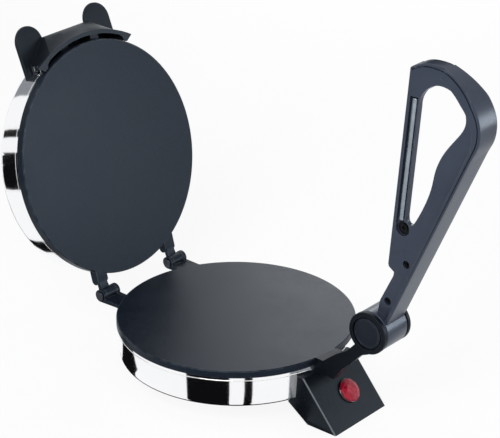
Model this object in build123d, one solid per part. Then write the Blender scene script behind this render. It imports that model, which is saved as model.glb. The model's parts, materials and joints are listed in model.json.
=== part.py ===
from build123d import *
import math
import os

os.makedirs("parts", exist_ok=True)

# Electric roti maker: two round hinged hotplates, a terminal box and a pressing lever.
# Millimetres. X runs along the hinge axis, -Y is the front (lever side), +Z is up.
# Coordinates below start on the resting surface, under the centre of the base drum.
# Every piece is written moved along Y, so that the finished origin lies under the
# middle of the whole outline.
# The pieces are written with the lid open and the lever raised.

# ---- hotplates ----
plate_radius = 110.0
plate_thickness = 6.0
plate_edge_chamfer = 0.8
plate_top_z = 57.6
base_rim_height = 6.8
lid_rim_height = 8.2
rim_wall = 7.0
face_gap = 1.6
boss_radius = 9.0

# ---- chrome drums under and over the plates ----
sheet = 1.0
drum_step = 1.0
drum_lip_width = 6.0
base_drum_depth = 38.1
base_drum_taper = 1.8
base_drum_corner = 4.5
lid_drum_depth = 34.8
lid_drum_taper = 0.6
lid_drum_corner = 5.0
drum_open_radius = plate_radius - drum_step
base_drum_end_radius = drum_open_radius - base_drum_taper
lid_drum_end_radius = drum_open_radius - lid_drum_taper
base_drum_size = (base_rim_height, base_drum_depth, base_drum_end_radius, base_drum_corner)
lid_drum_size = (lid_rim_height, lid_drum_depth, lid_drum_end_radius, lid_drum_corner)
vent_count = 12
vent_radius = 3.0
vent_circle_radius = 52.0
wall_cut = (-drum_open_radius - 13.0, -drum_open_radius + 12.0)

# ---- heater stack inside each drum ----
element_margin = 40.0
element_width = 8.0
element_height = 7.0
element_leg_spread = 16.0
element_leg_length = 16.0
element_leg_radius = 2.6
element_slope = 2.4
clamp_thickness = 1.5
clamp_margin = 28.0
insulation_margin = 18.0
reflector_margin = 14.0
reflector_rim = 5.0
base_insulation_thickness = 7.0
lid_insulation_thickness = 6.0
thermostat_radius = 8.0
thermostat_height = 11.0
thermostat_y = 36.0
thermostat_bar = (23.0, 6.0, 1.2)
thermostat_tag = (1.0, 6.0, 7.0)
thermostat_tag_x = 3.2
bolt_radius = 3.0
bolt_clearance = 0.15
bolt_bite = 2.5
bolt_head_across = 10.0
bolt_head_height = 4.0
spacer_radius = 6.0
hole_clearance = 1.0

# ---- hinge ----
hinge_reach = 9.9
hinge_z = 57.0
hinge_middles = (-44.5, 48.9)
lid_open_angle = 105.7
fork_half_width = 10.4
fork_cheek = 3.6
fork_root = (plate_radius - 22.0, plate_radius - 9.0)
fork_web_gap = 0.4
fork_root_inset = (2.4, 0.9)
fork_arm_crest = (5.2, 1.4)
hinge_side_gap = 0.3
hinge_end_gap = 0.1
knuckle_radius = 6.0
lug_radius = 5.6
lug_overhang = 1.0
lug_block_thickness = 8.6
lug_underside = 0.4
lug_neck = 4.2
lug_neck_inset = 1.6
hinge_pin_radius = 2.5
hinge_fit = 0.05
hinge_head_radius = 4.4
hinge_head_thickness = 1.4
pin_tail = 1.2
circlip_radius = 4.2
circlip_thickness = 0.8
circlip_gap = 2.4

# ---- lid bracket: curved hood with two lifting ears ----
hood_half_angle = 31.1
hood_reach = 9.0
hood_lip_z = 2.0
hood_lip_height = 3.2
hood_lip_step = 1.2
hood_lip_overhang = 9.0
hood_lip_slant = 6.0
hood_wall = 2.6
ridge_z = 26.5
ridge_reach = 15.0
ridge_half_length = 28.0
ridge_round = 2.0
hood_end_depth = 13.0
hood_flare = 0.48
plate_gap = 1.2
wall_fit = 0.05
ear_inner_x = 28.2
ear_outer_x = 60.2
ear_reach = 28.0
ear_thickness = 4.0
ear_rise = 0.12
ear_root_z = 22.5
ear_edge_round = 1.2
clip_thickness = 1.0
clip_length = 11.0
clip_height = 11.0
clip_rise = 4.5
clip_slot = (4.0, 3.5)
bracket_screw_x = 20.0
bracket_screw_z = 13.0
bracket_screw_reach = 11.0
bracket_screw_cut = (-drum_open_radius - 8.5, wall_cut[1])
bracket_pad = (5.0, 4.5)

# ---- pressure saddle on top of the lid ----
saddle_half_width = 15.0
saddle_length = 36.4
saddle_front = 8.0
saddle_lip = 7.5
saddle_corner = 3.0
saddle_wall = 4.0
lever_press_gap = 0.3
saddle_screw_x = 8.0
saddle_screw_inset = 17.4

# ---- lever pivot ----
pivot_reach = 54.0
pivot_z = 101.1
barrel_radius = 19.0
barrel_half_width = 14.4
barrel_edge_round = 1.2
washer_thickness = 0.8
washer_gap = 0.1
cheek_thickness = 4.0
cheek_radius = 19.4
cheek_edge_round = 1.0
cap_radius = 13.8
cap_thickness = 1.7
cap_seat_radius = 15.4
cap_seat_depth = 2.2
cap_fit = 0.05
arm_thickness = 8.0
arm_relief_radius = 21.5
foot_far_x = 6.5
foot_reach = 19.5
foot_top_z = 58.3
arm_root = (-2.0, 7.2)
arm_upper = [(32.5, -31.2), (20.6, -23.4), (12.9, -14.8)]
arm_lower = [(-9.0, -16.3), (5.0, -22.7), (11.1, -29.2), (16.4, -35.1), (24.7, -42.6)]
collar_radius = 19.0
collar_thickness = 4.0
washer_radius = 12.0
pivot_pin_radius = 5.0
pivot_fit = 0.05
bush_wall = 1.6
lever_down_angle = 94.7

# ---- lever moulding, measured from the pivot: outward (-Y) and up ----
web_half = 8.0
skin = 5.0
flange_half = 13.0
flange_depths = [9.0, 10.0, 10.0, 9.5, 8.5, 6.5, 4.5]
flange_low_depth = 2.6
strut_width = 12.5
rod_radius = 3.2
rod_channel_width = 8.0
rod_channel_depth = 3.2
rod_channel_inset = 3.0
rod_low = 110.5
rod_high = 222.0
strap_thickness = 3.0
lever_screw_radius = 1.8
lever_screw_head = 3.4
lever_screw_head_height = 1.6
lever_screw_sink = 2.0
lever_screw_places = [(-30.5, 71.5), (-12.6, 31.3)]
rod_stop_place = (-25.4, 103.6)
rod_stop_pocket = 7.0
rod_stop_radius = 3.8
strut_lean = 0.0833
strut_base = (-11.9, 67.1)
strut_pass = 6.3
spine_low = (-19.2, 18.0)
spine_high = (-91.5, 182.5)
crown_curve = [(-29.4, 249.2), (-41.0, 254.2), (-52.4, 254.8), (-60.0, 253.8)]
head_curve = [(-73.0, 248.2), (-88.9, 235.3), (-97.4, 222.2), (-100.1, 210.7), (-98.4, 197.0)]
crown_round = 2.4
flange_round = 1.6
crown_start = (-1.0, 0.75)
crown_slope = (-1.0, -0.28)
opening_low = 116.0
opening_high = 216.0
opening_curve = [
    (-41.8, 230.5), (-54.0, 238.6), (-66.2, 237.8), (-75.2, 232.6), (-80.6, 225.5), (-83.2, 214.0),
    (-75.2, 198.4), (-64.3, 183.4), (-55.6, 163.4), (-53.0, 150.0), (-47.5, 133.0), (-36.0, 109.8),
]
opening_toe = (-31.6, 108.6)
flange_taper = (230.0, 252.0)
pocket_top = 238.0
low_pocket = [
    (-17.5, 32.0), (-9.5, 32.0), (-21.5, 62.0), (-17.0, 70.0), (-18.5, 86.0), (-35.5, 86.0), (-41.5, 79.0),
]

# ---- terminal box ----
box_half_width = 36.4
box_wall = 2.4
box_cover_thickness = 2.0
box_height = 44.0
box_top_reach = (-1.0, -14.0)
box_front_reach = 36.5
box_back_points = [(-20.0, 20.0), (-17.3, 15.0), (4.6, 0.0)]
box_post_x = 29.0
box_post_reach = 16.0
box_post_height = 25.0
box_post_radius = 5.2
box_edge_round = 1.6
lamp_x = 5.0
lamp_offset = 28.5
lamp_lens_radius = 9.8
lamp_bezel_radius = 11.6
lamp_bezel_height = 1.8
lamp_body_radius = 7.6
lamp_body_length = 14.0
lamp_tag_length = 4.0
gland_bore_radius = 3.7
gland_inset = 1.0
gland_z = 14.0
block_x = (-22.8, -4.2)
block_reach = (7.6, 18.0)
block_height = 9.0
block_way_radius = 2.2
cover_screw_head = 1.2
cover_screw_tip = 11.0
block_ways = (-19.5, -13.5, -7.5)

# ---- feet ----
foot_angle = 30.0
foot_inset = 17.1
foot_top_radius = 11.0
foot_bottom_radius = 9.0
foot_screw_seat = 10.0

# ---- screws and grommets ----
screw_radius = 2.0
screw_head_radius = 3.6
screw_head_height = 2.3
screw_hole_gap = 0.1
screw_fit = 0.02
foot_fixing_x = (-13.0, 0.0)
foot_fixing_z = 46.4
foot_fixing_reach = 13.0
foot_fixing_radius = 1.6
foot_fixing_head_radius = 3.1
box_screw_x = 27.0
box_screw_z = 33.0
box_screw_reach = 11.0
box_screw_cut = (-drum_open_radius - 7.0, wall_cut[1])
grommet_radius = 6.0
grommet_bore = 3.2
grommet_flange = 2.0
base_lead_z = 35.0
lid_lead_z = 21.0

# ---- derived values ----
outline_shift_y = 16.4
element_radius = plate_radius - element_margin
clamp_radius = plate_radius - clamp_margin
insulation_radius = plate_radius - insulation_margin
reflector_radius = plate_radius - reflector_margin
hinge_y = plate_radius + hinge_reach
lug_block_y = plate_radius + lug_overhang
hood_lip_radius = plate_radius + hood_reach
ridge_y = -plate_radius - ridge_reach
ear_tip_y = -plate_radius - ear_reach
saddle_back_y = -lid_drum_end_radius - saddle_front + saddle_length
saddle_screw_y = -lid_drum_end_radius + saddle_screw_inset
pivot_y = -plate_radius - pivot_reach
foot_front_y = -plate_radius - foot_reach
box_front_foot = (-plate_radius - box_front_reach, 0.0)
box_top = (-plate_radius - box_top_reach[0], box_height)
box_post_y = -plate_radius - box_post_reach
gland_y = -plate_radius + gland_inset
block_y = [-plate_radius - reach for reach in block_reach]
foot_circle = base_drum_end_radius - foot_inset
foot_x = foot_circle * math.sin(math.radians(foot_angle))
foot_y = foot_circle * math.cos(math.radians(foot_angle))
lid_face_z = plate_top_z + face_gap
base_bottom_z = plate_top_z - base_drum_depth
cheek_inner_x = barrel_half_width + washer_thickness + 2 * washer_gap
cheek_outer_x = cheek_inner_x + cheek_thickness
bush_outer = pivot_pin_radius + pivot_fit + bush_wall
hood_half_width = hood_lip_radius * math.sin(math.radians(hood_half_angle))
hood_end_y = -hood_lip_radius * math.cos(math.radians(hood_half_angle))
hood_wall_x = hood_half_width - hood_lip_overhang
saddle_top = pivot_z + strut_pass - lever_press_gap - lid_face_z
hinge_axis = Axis((0, hinge_y, hinge_z), (1, 0, 0))
CENTRED = (Align.CENTER, Align.CENTER, Align.MIN)
far = 60.0


# ---------------------------------------------------------------- helpers

def turned(points):
    """Solid of revolution about Z from (radius, z) points."""
    outline = Polyline(*[(r, 0, z) for r, z in points], close=True)
    return revolve(make_face(outline), Axis.Z)


def rod_z(radius, low, high, x=0.0, y=0.0):
    """Solid round bar along Z."""
    return Pos(x, y, low) * Cylinder(radius, high - low, align=CENTRED)


def rod_x(radius, x_start, x_end, y, z):
    """Solid round bar along X between two places in either order."""
    low = min(x_start, x_end)
    bar = Cylinder(radius, abs(x_end - x_start), align=CENTRED)
    return Pos(low, y, z) * (Rot(0, 90, 0) * bar)


def rod_y(radius, y_start, y_end, x, z):
    """Solid round bar along Y between two places in either order."""
    low = min(y_start, y_end)
    bar = Cylinder(radius, abs(y_end - y_start), align=CENTRED)
    return Pos(x, low, z) * (Rot(-90, 0, 0) * bar)


def tube(outer, inner, low, high):
    """Plain ring standing between two heights."""
    return rod_z(outer, low, high) - rod_z(inner, low - 1, high + 1)


def ring_x(outer, inner, x_start, x_end, y, z):
    """Plain ring along X."""
    return rod_x(outer, x_start, x_end, y, z) - rod_x(inner, x_start - far, x_end + far, y, z)


def side_plate(points, x_start, x_end):
    """Closed (y, z) outline pushed along X between two places in either order."""
    low = min(x_start, x_end)
    outline = Polyline(*[(low, y, z) for y, z in points], close=True)
    return extrude(make_face(outline), amount=abs(x_end - x_start), dir=(1, 0, 0))


def slab(x_span, y_span, z_span):
    """Rectangular bar given by its faces, each pair in either order."""
    size = [abs(span[1] - span[0]) for span in (x_span, y_span, z_span)]
    corner = (Align.MIN, Align.MIN, Align.MIN)
    return Pos(min(x_span), min(y_span), min(z_span)) * Box(*size, align=corner)


def one(shape):
    """Largest solid of a result that may carry stray slivers."""
    return max(shape.solids(), key=lambda solid: solid.volume)


def in_lid(shape):
    """From the lid's own frame (face at zero, inside upwards) to the open lid."""
    return (Pos(0, 0, lid_face_z) * shape).rotate(hinge_axis, -lid_open_angle)


def in_base(shape):
    """From a hotplate's own frame to the base, face upwards."""
    return Pos(0, 0, plate_top_z) * mirror(shape, about=Plane.XY)


def shrink(points, amounts):
    """Closed (y, z) outline with each edge moved inwards by its own amount."""
    moved = []
    count = len(points)
    for k in range(count):
        before = points[k - 1]
        here = points[k]
        after = points[(k + 1) % count]
        moved.append(corner_of(before, here, after, amounts[k - 1], amounts[k]))
    return moved


def corner_of(before, here, after, first, second):
    """Where two neighbouring edges meet once both are moved to their right side."""
    a = unit(before, here)
    b = unit(here, after)
    start = (here[0] + a[1] * first, here[1] - a[0] * first)
    other = (here[0] + b[1] * second, here[1] - b[0] * second)
    cross = a[0] * b[1] - a[1] * b[0]
    reach = ((other[0] - start[0]) * b[1] - (other[1] - start[1]) * b[0]) / cross
    return (start[0] + a[0] * reach, start[1] + a[1] * reach)


def unit(start, end):
    """Direction from one point to another."""
    length = math.hypot(end[0] - start[0], end[1] - start[1])
    return ((end[0] - start[0]) / length, (end[1] - start[1]) / length)


def tangent_point(cy, cz, radius, py, pz, side):
    """Where the line from (py, pz) touches the circle, on the upper or lower side."""
    reach = math.hypot(py - cy, pz - cz)
    heading = math.atan2(pz - cz, py - cy) - side * math.acos(radius / reach)
    return (cy + radius * math.cos(heading), cz + radius * math.sin(heading))


def screw_y(x, z, y_head, y_tip, radius=screw_radius, head_radius=screw_head_radius):
    """Pan-head screw along Y: the head sits at y_head, the shank runs to y_tip."""
    away = math.copysign(screw_head_height, y_head - y_tip)
    shank = rod_y(radius, y_head, y_tip, x, z)
    return shank + rod_y(head_radius, y_head, y_head + away, x, z)


def screw_z(x, y, z_head, z_tip, head_height):
    """Pan-head screw along Z: the head sits at z_head, the shank runs to z_tip."""
    away = math.copysign(head_height, z_head - z_tip)
    shank = rod_z(screw_radius, min(z_head, z_tip), max(z_head, z_tip), x, y)
    low = min(z_head, z_head + away)
    return shank + rod_z(screw_head_radius, low, low + head_height, x, y)


# ---------------------------------------------------------------- hotplates

def hotplate(rim):
    """Cast disc with a chamfered edge, a shallow skirt and a threaded middle boss."""
    r = plate_radius
    c = plate_edge_chamfer
    t = plate_thickness
    disc = turned([
        (0, 0), (r - c, 0), (r, c), (r, rim), (r - rim_wall, rim),
        (r - rim_wall - 1, t), (0, t),
    ])
    boss_top = t + element_height
    disc += rod_z(boss_radius, t - 0.5, boss_top)
    return disc - rod_z(bolt_radius + bolt_clearance, t - bolt_bite, boss_top + 1)


def fork_arm(x_start, x_end, root_low, root_high):
    """Cheek of a hinge fork: a round end on a bar that runs into the plate's rim."""
    y0, y1 = fork_root
    lower = tangent_point(hinge_y, hinge_z, knuckle_radius, y1, root_low, -1)
    upper = (hinge_y - fork_arm_crest[0], hinge_z - fork_arm_crest[1])
    bar = side_plate([
        (y0, root_low), (y1, root_low), lower, (hinge_y, hinge_z), upper, (y1, root_high), (y0, root_high),
    ], x_start, x_end)
    return bar + rod_x(knuckle_radius, x_start, x_end, hinge_y, hinge_z)


def lower_plate():
    """Bottom hotplate with two hinge forks cast on its back edge."""
    plate = in_base(hotplate(base_rim_height))
    root_low = plate_top_z - base_rim_height + fork_root_inset[1]
    root_high = plate_top_z - fork_root_inset[0]
    for middle in hinge_middles:
        for side in (-1, 1):
            outer = middle + side * fork_half_width
            plate += fork_arm(outer, outer - side * fork_cheek, root_low, root_high)
        web_end = hinge_y - lug_radius - fork_web_gap
        span = (middle - fork_half_width, middle + fork_half_width)
        plate += slab(span, (fork_root[0], web_end), (root_low, root_high))
        bore = fork_half_width + 1
        plate -= rod_x(hinge_pin_radius + hinge_fit, middle - bore, middle + bore, hinge_y, hinge_z)
    return one(plate)


def hinge_lug(middle):
    """Thick tongue on the lid plate's edge with a thinner neck down to the knuckle."""
    half = fork_half_width - fork_cheek - hinge_side_gap
    axis_z = hinge_z - lid_face_z
    low = lug_underside
    high = lug_block_thickness
    round_end = (high - low) / 2
    x0 = middle - half
    x1 = middle + half
    block = slab((x0, x1), (fork_root[0], lug_block_y - round_end), (low, high))
    block += rod_x(round_end, x0, x1, lug_block_y - round_end, low + round_end)
    upper = tangent_point(hinge_y, axis_z, lug_radius, lug_block_y - 4, low + lug_neck, 1)
    neck = side_plate([
        (lug_block_y - 6, low), (lug_block_y, low), (hinge_y, axis_z), upper,
        (lug_block_y - 4, low + lug_neck), (lug_block_y - 6, low + lug_neck),
    ], x0 + lug_neck_inset, x1 - lug_neck_inset)
    lug = block + neck + rod_x(lug_radius, x0, x1, hinge_y, axis_z)
    return lug - rod_z(drum_open_radius + 0.4, lid_rim_height, far)


def upper_plate():
    """Lid hotplate with its two hinge lugs."""
    plate = hotplate(lid_rim_height)
    axis_z = hinge_z - lid_face_z
    for middle in hinge_middles:
        plate += hinge_lug(middle)
        reach = fork_half_width
        plate -= rod_x(hinge_pin_radius + hinge_fit, middle - reach, middle + reach, hinge_y, axis_z)
    return in_lid(one(plate))


def hinge_pins():
    """Headed steel pins through both forks, one solid each."""
    pins = []
    for middle in hinge_middles:
        head = middle - fork_half_width - hinge_end_gap
        tail = middle + fork_half_width + hinge_end_gap + circlip_thickness + pin_tail
        pin = rod_x(hinge_pin_radius, head, tail, hinge_y, hinge_z)
        pin += rod_x(hinge_head_radius, head - hinge_head_thickness, head, hinge_y, hinge_z)
        pins.append(pin)
    return Compound(pins)


def hinge_circlips():
    """Snap rings that hold the pins in the forks."""
    clips = []
    for middle in hinge_middles:
        x = middle + fork_half_width + hinge_end_gap
        ring = ring_x(circlip_radius, hinge_pin_radius + hinge_fit, x, x + circlip_thickness, hinge_y, hinge_z)
        half = circlip_gap / 2
        clips.append(ring - slab((x - 1, x + 2), (hinge_y - half, hinge_y + half), (hinge_z - 6, hinge_z - 1)))
    return Compound(clips)


# ---------------------------------------------------------------- drums

def drum_radius(drum_size, z):
    """Outside radius of a drum's tapered wall at a height in its own frame."""
    rim, depth, end_radius, corner = drum_size
    part = (z - rim) / (depth - corner - rim)
    return drum_open_radius + (end_radius - drum_open_radius) * part


def drum_outside(drum_size, grow):
    """Solid with the drum's outside form, grown by a clearance."""
    rim, depth, end_radius, corner = drum_size
    top = drum_open_radius + grow
    end = end_radius + grow
    height = depth + grow
    turn = corner + grow
    mid = turn * (1 - math.sqrt(0.5))
    low = Polyline((0, 0, height), (end - turn, 0, height))
    bend = ThreePointArc((end - turn, 0, height), (end - mid, 0, height - mid), (end, 0, height - turn))
    wall = Polyline((end, 0, height - turn), (top, 0, rim), (0, 0, rim), (0, 0, height))
    return revolve(make_face([e for piece in (low, bend, wall) for e in piece.edges()]), Axis.Z)


def drum(drum_size):
    """Drawn sheet pan with a rolled-in lip, tapered wall and rounded end."""
    rim, depth, end_radius, corner = drum_size
    s = sheet
    shell = drum_outside(drum_size, 0.0)
    hollow = drum_outside((rim + s, depth, end_radius, corner), -s)
    mouth = rod_z(drum_open_radius - drum_lip_width, rim - 1, rim + s + 1)
    bolt_hole = rod_z(bolt_radius + bolt_clearance, depth - 3, depth + 1)
    return shell - hollow - mouth - bolt_hole


def base_drum():
    """Chrome pan of the base: vents, foot holes, the lead hole and the screw holes."""
    pan = drum(base_drum_size)
    for k in range(vent_count):
        hole = rod_z(vent_radius, base_drum_depth - 3, base_drum_depth + 3, x=vent_circle_radius)
        pan -= Rot(0, 0, 360.0 * k / vent_count) * hole
    pan = in_base(pan)
    hole_radius = screw_radius + screw_hole_gap
    pan -= rod_y(grommet_radius, -wall_cut[0], -wall_cut[1], 0, base_lead_z)
    for x in (-foot_x, foot_x):
        pan -= rod_z(hole_radius, base_bottom_z - 1, base_bottom_z + 3, x, foot_y)
    for x in foot_fixing_x:
        pan -= rod_y(foot_fixing_radius + screw_hole_gap, *wall_cut, x, foot_fixing_z)
    for x in (-box_screw_x, box_screw_x):
        pan -= rod_y(hole_radius, *wall_cut, x, box_screw_z)
    return one(pan)


def lid_drum():
    """Chrome cover of the lid, with holes for its bracket, saddle and lead."""
    pan = drum(lid_drum_size)
    hole_radius = screw_radius + screw_hole_gap
    pan -= rod_y(grommet_radius, -wall_cut[0], -wall_cut[1], 0, lid_lead_z)
    for x in (-bracket_screw_x, bracket_screw_x):
        pan -= rod_y(hole_radius, *wall_cut, x, bracket_screw_z)
    for x in (-saddle_screw_x, saddle_screw_x):
        pan -= rod_z(hole_radius, lid_drum_depth - 3, lid_drum_depth + 2, x, saddle_screw_y)
    return in_lid(one(pan))


def screw_seat(drum_size, x, z):
    """Y where a screw head rests against the inside of the drum's front wall."""
    inside = drum_radius(drum_size, z + screw_head_radius) - sheet
    edge = abs(x) + screw_head_radius
    return -math.sqrt(inside ** 2 - edge ** 2) + wall_fit


# ---------------------------------------------------------------- heater stack

def element_legs(low, high, radius):
    """Two upright bars where the element's ends leave it."""
    y = -math.sqrt(element_radius ** 2 - element_leg_spread ** 2)
    return [rod_z(radius, low, high, x, y) for x in (-element_leg_spread, element_leg_spread)]


def heater_stack(depth, insulation_thickness):
    """Element, clamp, insulation, reflector, spacers, bolt and thermostat of one hotplate."""
    under = plate_thickness
    element_end = under + element_height
    clamp_end = element_end + clamp_thickness
    wool_end = clamp_end + insulation_thickness
    dish_end = wool_end + sheet
    bolt_hole = bolt_radius + bolt_clearance
    near = element_radius - element_width / 2
    wide = element_radius + element_width / 2
    waist = under + element_height / 2
    element = turned([
        (near, under), (wide, under), (wide, waist), (wide - element_slope, element_end),
        (near + element_slope, element_end), (near, waist),
    ])
    for leg in element_legs(element_end - 2, element_end + element_leg_length, element_leg_radius):
        element += leg
    clamp = tube(clamp_radius, bolt_hole, element_end, clamp_end)
    wool = tube(insulation_radius, spacer_radius + hole_clearance, clamp_end, wool_end)
    rim_inside = reflector_radius - sheet
    rim_end = wool_end - reflector_rim
    dish = turned([
        (bolt_hole, wool_end), (rim_inside, wool_end), (rim_inside, rim_end), (reflector_radius, rim_end),
        (reflector_radius, dish_end), (bolt_hole, dish_end),
    ])
    holes = element_legs(element_end - 1, depth, element_leg_radius + hole_clearance)
    holes.append(rod_z(thermostat_radius + hole_clearance, element_end - 1, depth, y=thermostat_y))
    for hole in holes:
        clamp -= hole
        wool -= hole
        dish -= hole
    spacers = Compound([
        tube(spacer_radius, bolt_hole, clamp_end, wool_end),
        tube(spacer_radius, bolt_hole, dish_end, depth - sheet),
    ])
    head = extrude(RegularPolygon(bolt_head_across / 2, 6, major_radius=False), bolt_head_height)
    bolt = rod_z(bolt_radius, under, depth) + Pos(0, 0, depth) * head
    return {
        "element": element, "element_clamp": clamp, "insulation": wool, "reflector": dish,
        "spacers": spacers, "tie_bolt": bolt, "thermostat": thermostat(under),
    }


def thermostat(under):
    """Round snap thermostat with a mounting bar and two tags."""
    top = under + thermostat_height
    body = rod_z(thermostat_radius, under, top, y=thermostat_y)
    body += Pos(0, thermostat_y, under) * Box(*thermostat_bar, align=CENTRED)
    for x in (-thermostat_tag_x, thermostat_tag_x):
        body += Pos(x, thermostat_y, top) * Box(*thermostat_tag, align=CENTRED)
    return body


# ---------------------------------------------------------------- lid bracket

def hood_block(inset, low, high, edge, flare):
    """Solid bounded by the cone of the lip and the straight ridge, shrunk by an inset."""
    r_low = hood_lip_radius - inset + (low - hood_lip_z) * flare
    r_high = hood_lip_radius - inset + (high - hood_lip_z) * flare
    cone = turned([(0, low), (r_low, low), (r_high, high), (0, high)])
    back = hood_end_y + hood_end_depth
    front = ridge_y + inset
    ridge = ridge_half_length + 1
    end = min(edge, hood_wall_x)
    outline = Polyline(
        (-end, back), (-end, hood_end_y + hood_lip_slant), (-edge, hood_end_y), (-ridge, front),
        (ridge, front), (edge, hood_end_y), (end, hood_end_y + hood_lip_slant), (end, back), close=True,
    )
    return cone & extrude(Pos(0, 0, low) * make_face(outline), high - low)


def ear(side):
    """Rounded lifting paddle that rises gently from the hood to its tip."""
    inner = side * ear_inner_x
    outer = side * ear_outer_x
    middle = (inner + outer) / 2
    shoulder_y = ear_tip_y + (ear_outer_x - ear_inner_x) / 2
    root_y = hood_end_y + hood_end_depth
    tip = ThreePointArc((inner, shoulder_y, 0), (middle, ear_tip_y, 0), (outer, shoulder_y, 0))
    rest = Polyline((outer, shoulder_y, 0), (outer, root_y, 0), (inner, root_y, 0), (inner, shoulder_y, 0))
    block = extrude(make_face([tip.edge()] + list(rest.edges())), far)
    plank = Box(4 * far, 4 * far, ear_thickness, align=CENTRED)
    rise = math.degrees(math.atan(ear_rise))
    paddle = block & (Pos(0, hood_end_y, ear_root_z) * (Rot(-rise, 0, 0) * plank))
    flat = [e for e in paddle.edges() if abs(e.tangent_at(0.5).Z) < 0.5]
    return fillet([e for e in flat if e.position_at(0.5).Y < root_y - 1], ear_edge_round)


def lid_clear():
    """The lid's own drum and plate edge, grown by their clearances."""
    rim = rod_z(plate_radius + plate_gap, -5, lid_rim_height + 0.1)
    return drum_outside(lid_drum_size, wall_fit) + rim


def lid_bracket():
    """One moulding: curved hood with an overhanging lip, open below, and two ears."""
    lip_top = hood_lip_z + hood_lip_height
    hood = hood_block(hood_lip_step, hood_lip_z, ridge_z, hood_wall_x, hood_flare)
    top_edges = [e for e in hood.edges() if abs(e.position_at(0.5).Z - ridge_z) < 0.01]
    hood = fillet([e for e in top_edges if e.position_at(0.5).Y < hood_end_y], ridge_round)
    hood += hood_block(0.0, hood_lip_z, lip_top, hood_half_width, 0.0)
    for side in (-1, 1):
        hood += ear(side)
    hollow_edge = hood_wall_x - hood_wall
    hood -= hood_block(hood_lip_step + hood_wall, hood_lip_z - 1, ridge_z - hood_wall, hollow_edge, hood_flare)
    pad_half, pad_drop = bracket_pad
    for side in (-1, 1):
        pad_x = side * bracket_screw_x
        pad = slab((pad_x - pad_half, pad_x + pad_half), (ridge_y, wall_cut[1]), (bracket_screw_z - pad_drop, ridge_z - 1))
        hood += pad & hood_block(hood_lip_step + 0.5, hood_lip_z, ridge_z, hood_wall_x, hood_flare)
    hood -= lid_clear()
    for x in (-bracket_screw_x, bracket_screw_x):
        hood -= rod_y(screw_radius + screw_fit, *bracket_screw_cut, x, bracket_screw_z)
    return in_lid(one(hood))


def lid_bracket_screws():
    """Screws from inside the cover into the bracket's pads."""
    screws = []
    for x in (-bracket_screw_x, bracket_screw_x):
        seat = screw_seat(lid_drum_size, x, bracket_screw_z)
        screws.append(screw_y(x, bracket_screw_z, seat, seat - bracket_screw_reach))
    return in_lid(Compound(screws))


def lid_bracket_clips():
    """Bright spring clips that pin the ends of the hood to the cover's wall."""
    clips = []
    slot_in, slot_edge = clip_slot
    for side in (-1, 1):
        x0 = side * (hood_wall_x + wall_fit)
        x1 = x0 + side * clip_thickness
        low = hood_lip_z + hood_lip_height + clip_rise
        high = low + clip_height
        plate = slab((x0, x1), (hood_end_y, hood_end_y + clip_length), (low, high))
        plate -= slab((x0, x1), (hood_end_y, hood_end_y + slot_in), (low + slot_edge, high - slot_edge))
        clips.append(one(plate - lid_clear()))
    return in_lid(Compound(clips))


def pressure_saddle():
    """Bearing block on top of the lid edge, where the lever presses."""
    w = saddle_half_width
    d = lid_drum_depth
    c = saddle_corner
    inner = w - saddle_wall
    front = -lid_drum_end_radius - saddle_front
    seat_y = lid_drum_corner * 2 - lid_drum_end_radius
    lip_y = front + saddle_front - 1.6
    low = d - saddle_lip
    body = side_plate([
        (front, low), (front, saddle_top - c), (front + c, saddle_top), (saddle_back_y - c, saddle_top),
        (saddle_back_y, saddle_top - c), (saddle_back_y, d), (seat_y, d), (lip_y, d), (lip_y, low),
    ], -w, w)
    body -= drum_outside(lid_drum_size, wall_fit)
    room = (front + 2 * saddle_wall, saddle_back_y - saddle_wall)
    body -= slab((-inner, inner), room, (d + saddle_wall, saddle_top - saddle_wall))
    for x in (-saddle_screw_x, saddle_screw_x):
        body -= rod_z(screw_radius + screw_fit, d - 1, d + saddle_wall, x, saddle_screw_y)
    return in_lid(one(body))


def saddle_screws():
    """Screws up through the cover into the saddle."""
    seat = lid_drum_depth - sheet
    screws = [
        screw_z(x, saddle_screw_y, seat, seat + saddle_wall, screw_head_height)
        for x in (-saddle_screw_x, saddle_screw_x)
    ]
    return in_lid(Compound(screws))


# ---------------------------------------------------------------- lever bracket and pivot

def bracket_arm_outline():
    """Side view of the arm that climbs from the foot to the pivot."""
    root_in, root_out = [-plate_radius - reach for reach in arm_root]
    upper = [(pivot_y + u, pivot_z + w) for u, w in arm_upper]
    lower = [(pivot_y + u, pivot_z + w) for u, w in arm_lower]
    start = [(root_in, foot_top_z), (root_out, foot_top_z)]
    return start + upper + [(pivot_y, pivot_z)] + lower + [(foot_front_y, box_height), (root_in, box_height)]


def lever_bracket():
    """Moulded bracket on the front of the base: foot, one curved arm and the pivot cheek."""
    outline = bracket_arm_outline()
    bracket = side_plate(outline, -cheek_outer_x, -cheek_inner_x)
    thick = side_plate(outline, -cheek_inner_x, arm_thickness - cheek_outer_x)
    bracket += thick - rod_x(arm_relief_radius, -far, far, pivot_y, pivot_z)
    bracket += slab((-cheek_outer_x, foot_far_x), (foot_front_y, wall_cut[1]), (box_height, foot_top_z))
    cheek = rod_x(cheek_radius, -cheek_outer_x, -cheek_inner_x, pivot_y, pivot_z)
    bracket += fillet(cheek.edges().sort_by(Axis.X)[:1], cheek_edge_round)
    bracket -= rod_x(cap_seat_radius, cap_seat_depth - cheek_outer_x, -far, pivot_y, pivot_z)
    bracket -= rod_x(pivot_pin_radius + screw_fit, -far, far, pivot_y, pivot_z)
    bracket -= in_base(drum_outside(base_drum_size, wall_fit))
    bracket -= rod_z(plate_radius + wall_fit, plate_top_z - base_rim_height - wall_fit, foot_top_z + far)
    for x in foot_fixing_x:
        bracket -= rod_y(foot_fixing_radius + screw_fit, *wall_cut, x, foot_fixing_z)
    return one(bracket)


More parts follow.
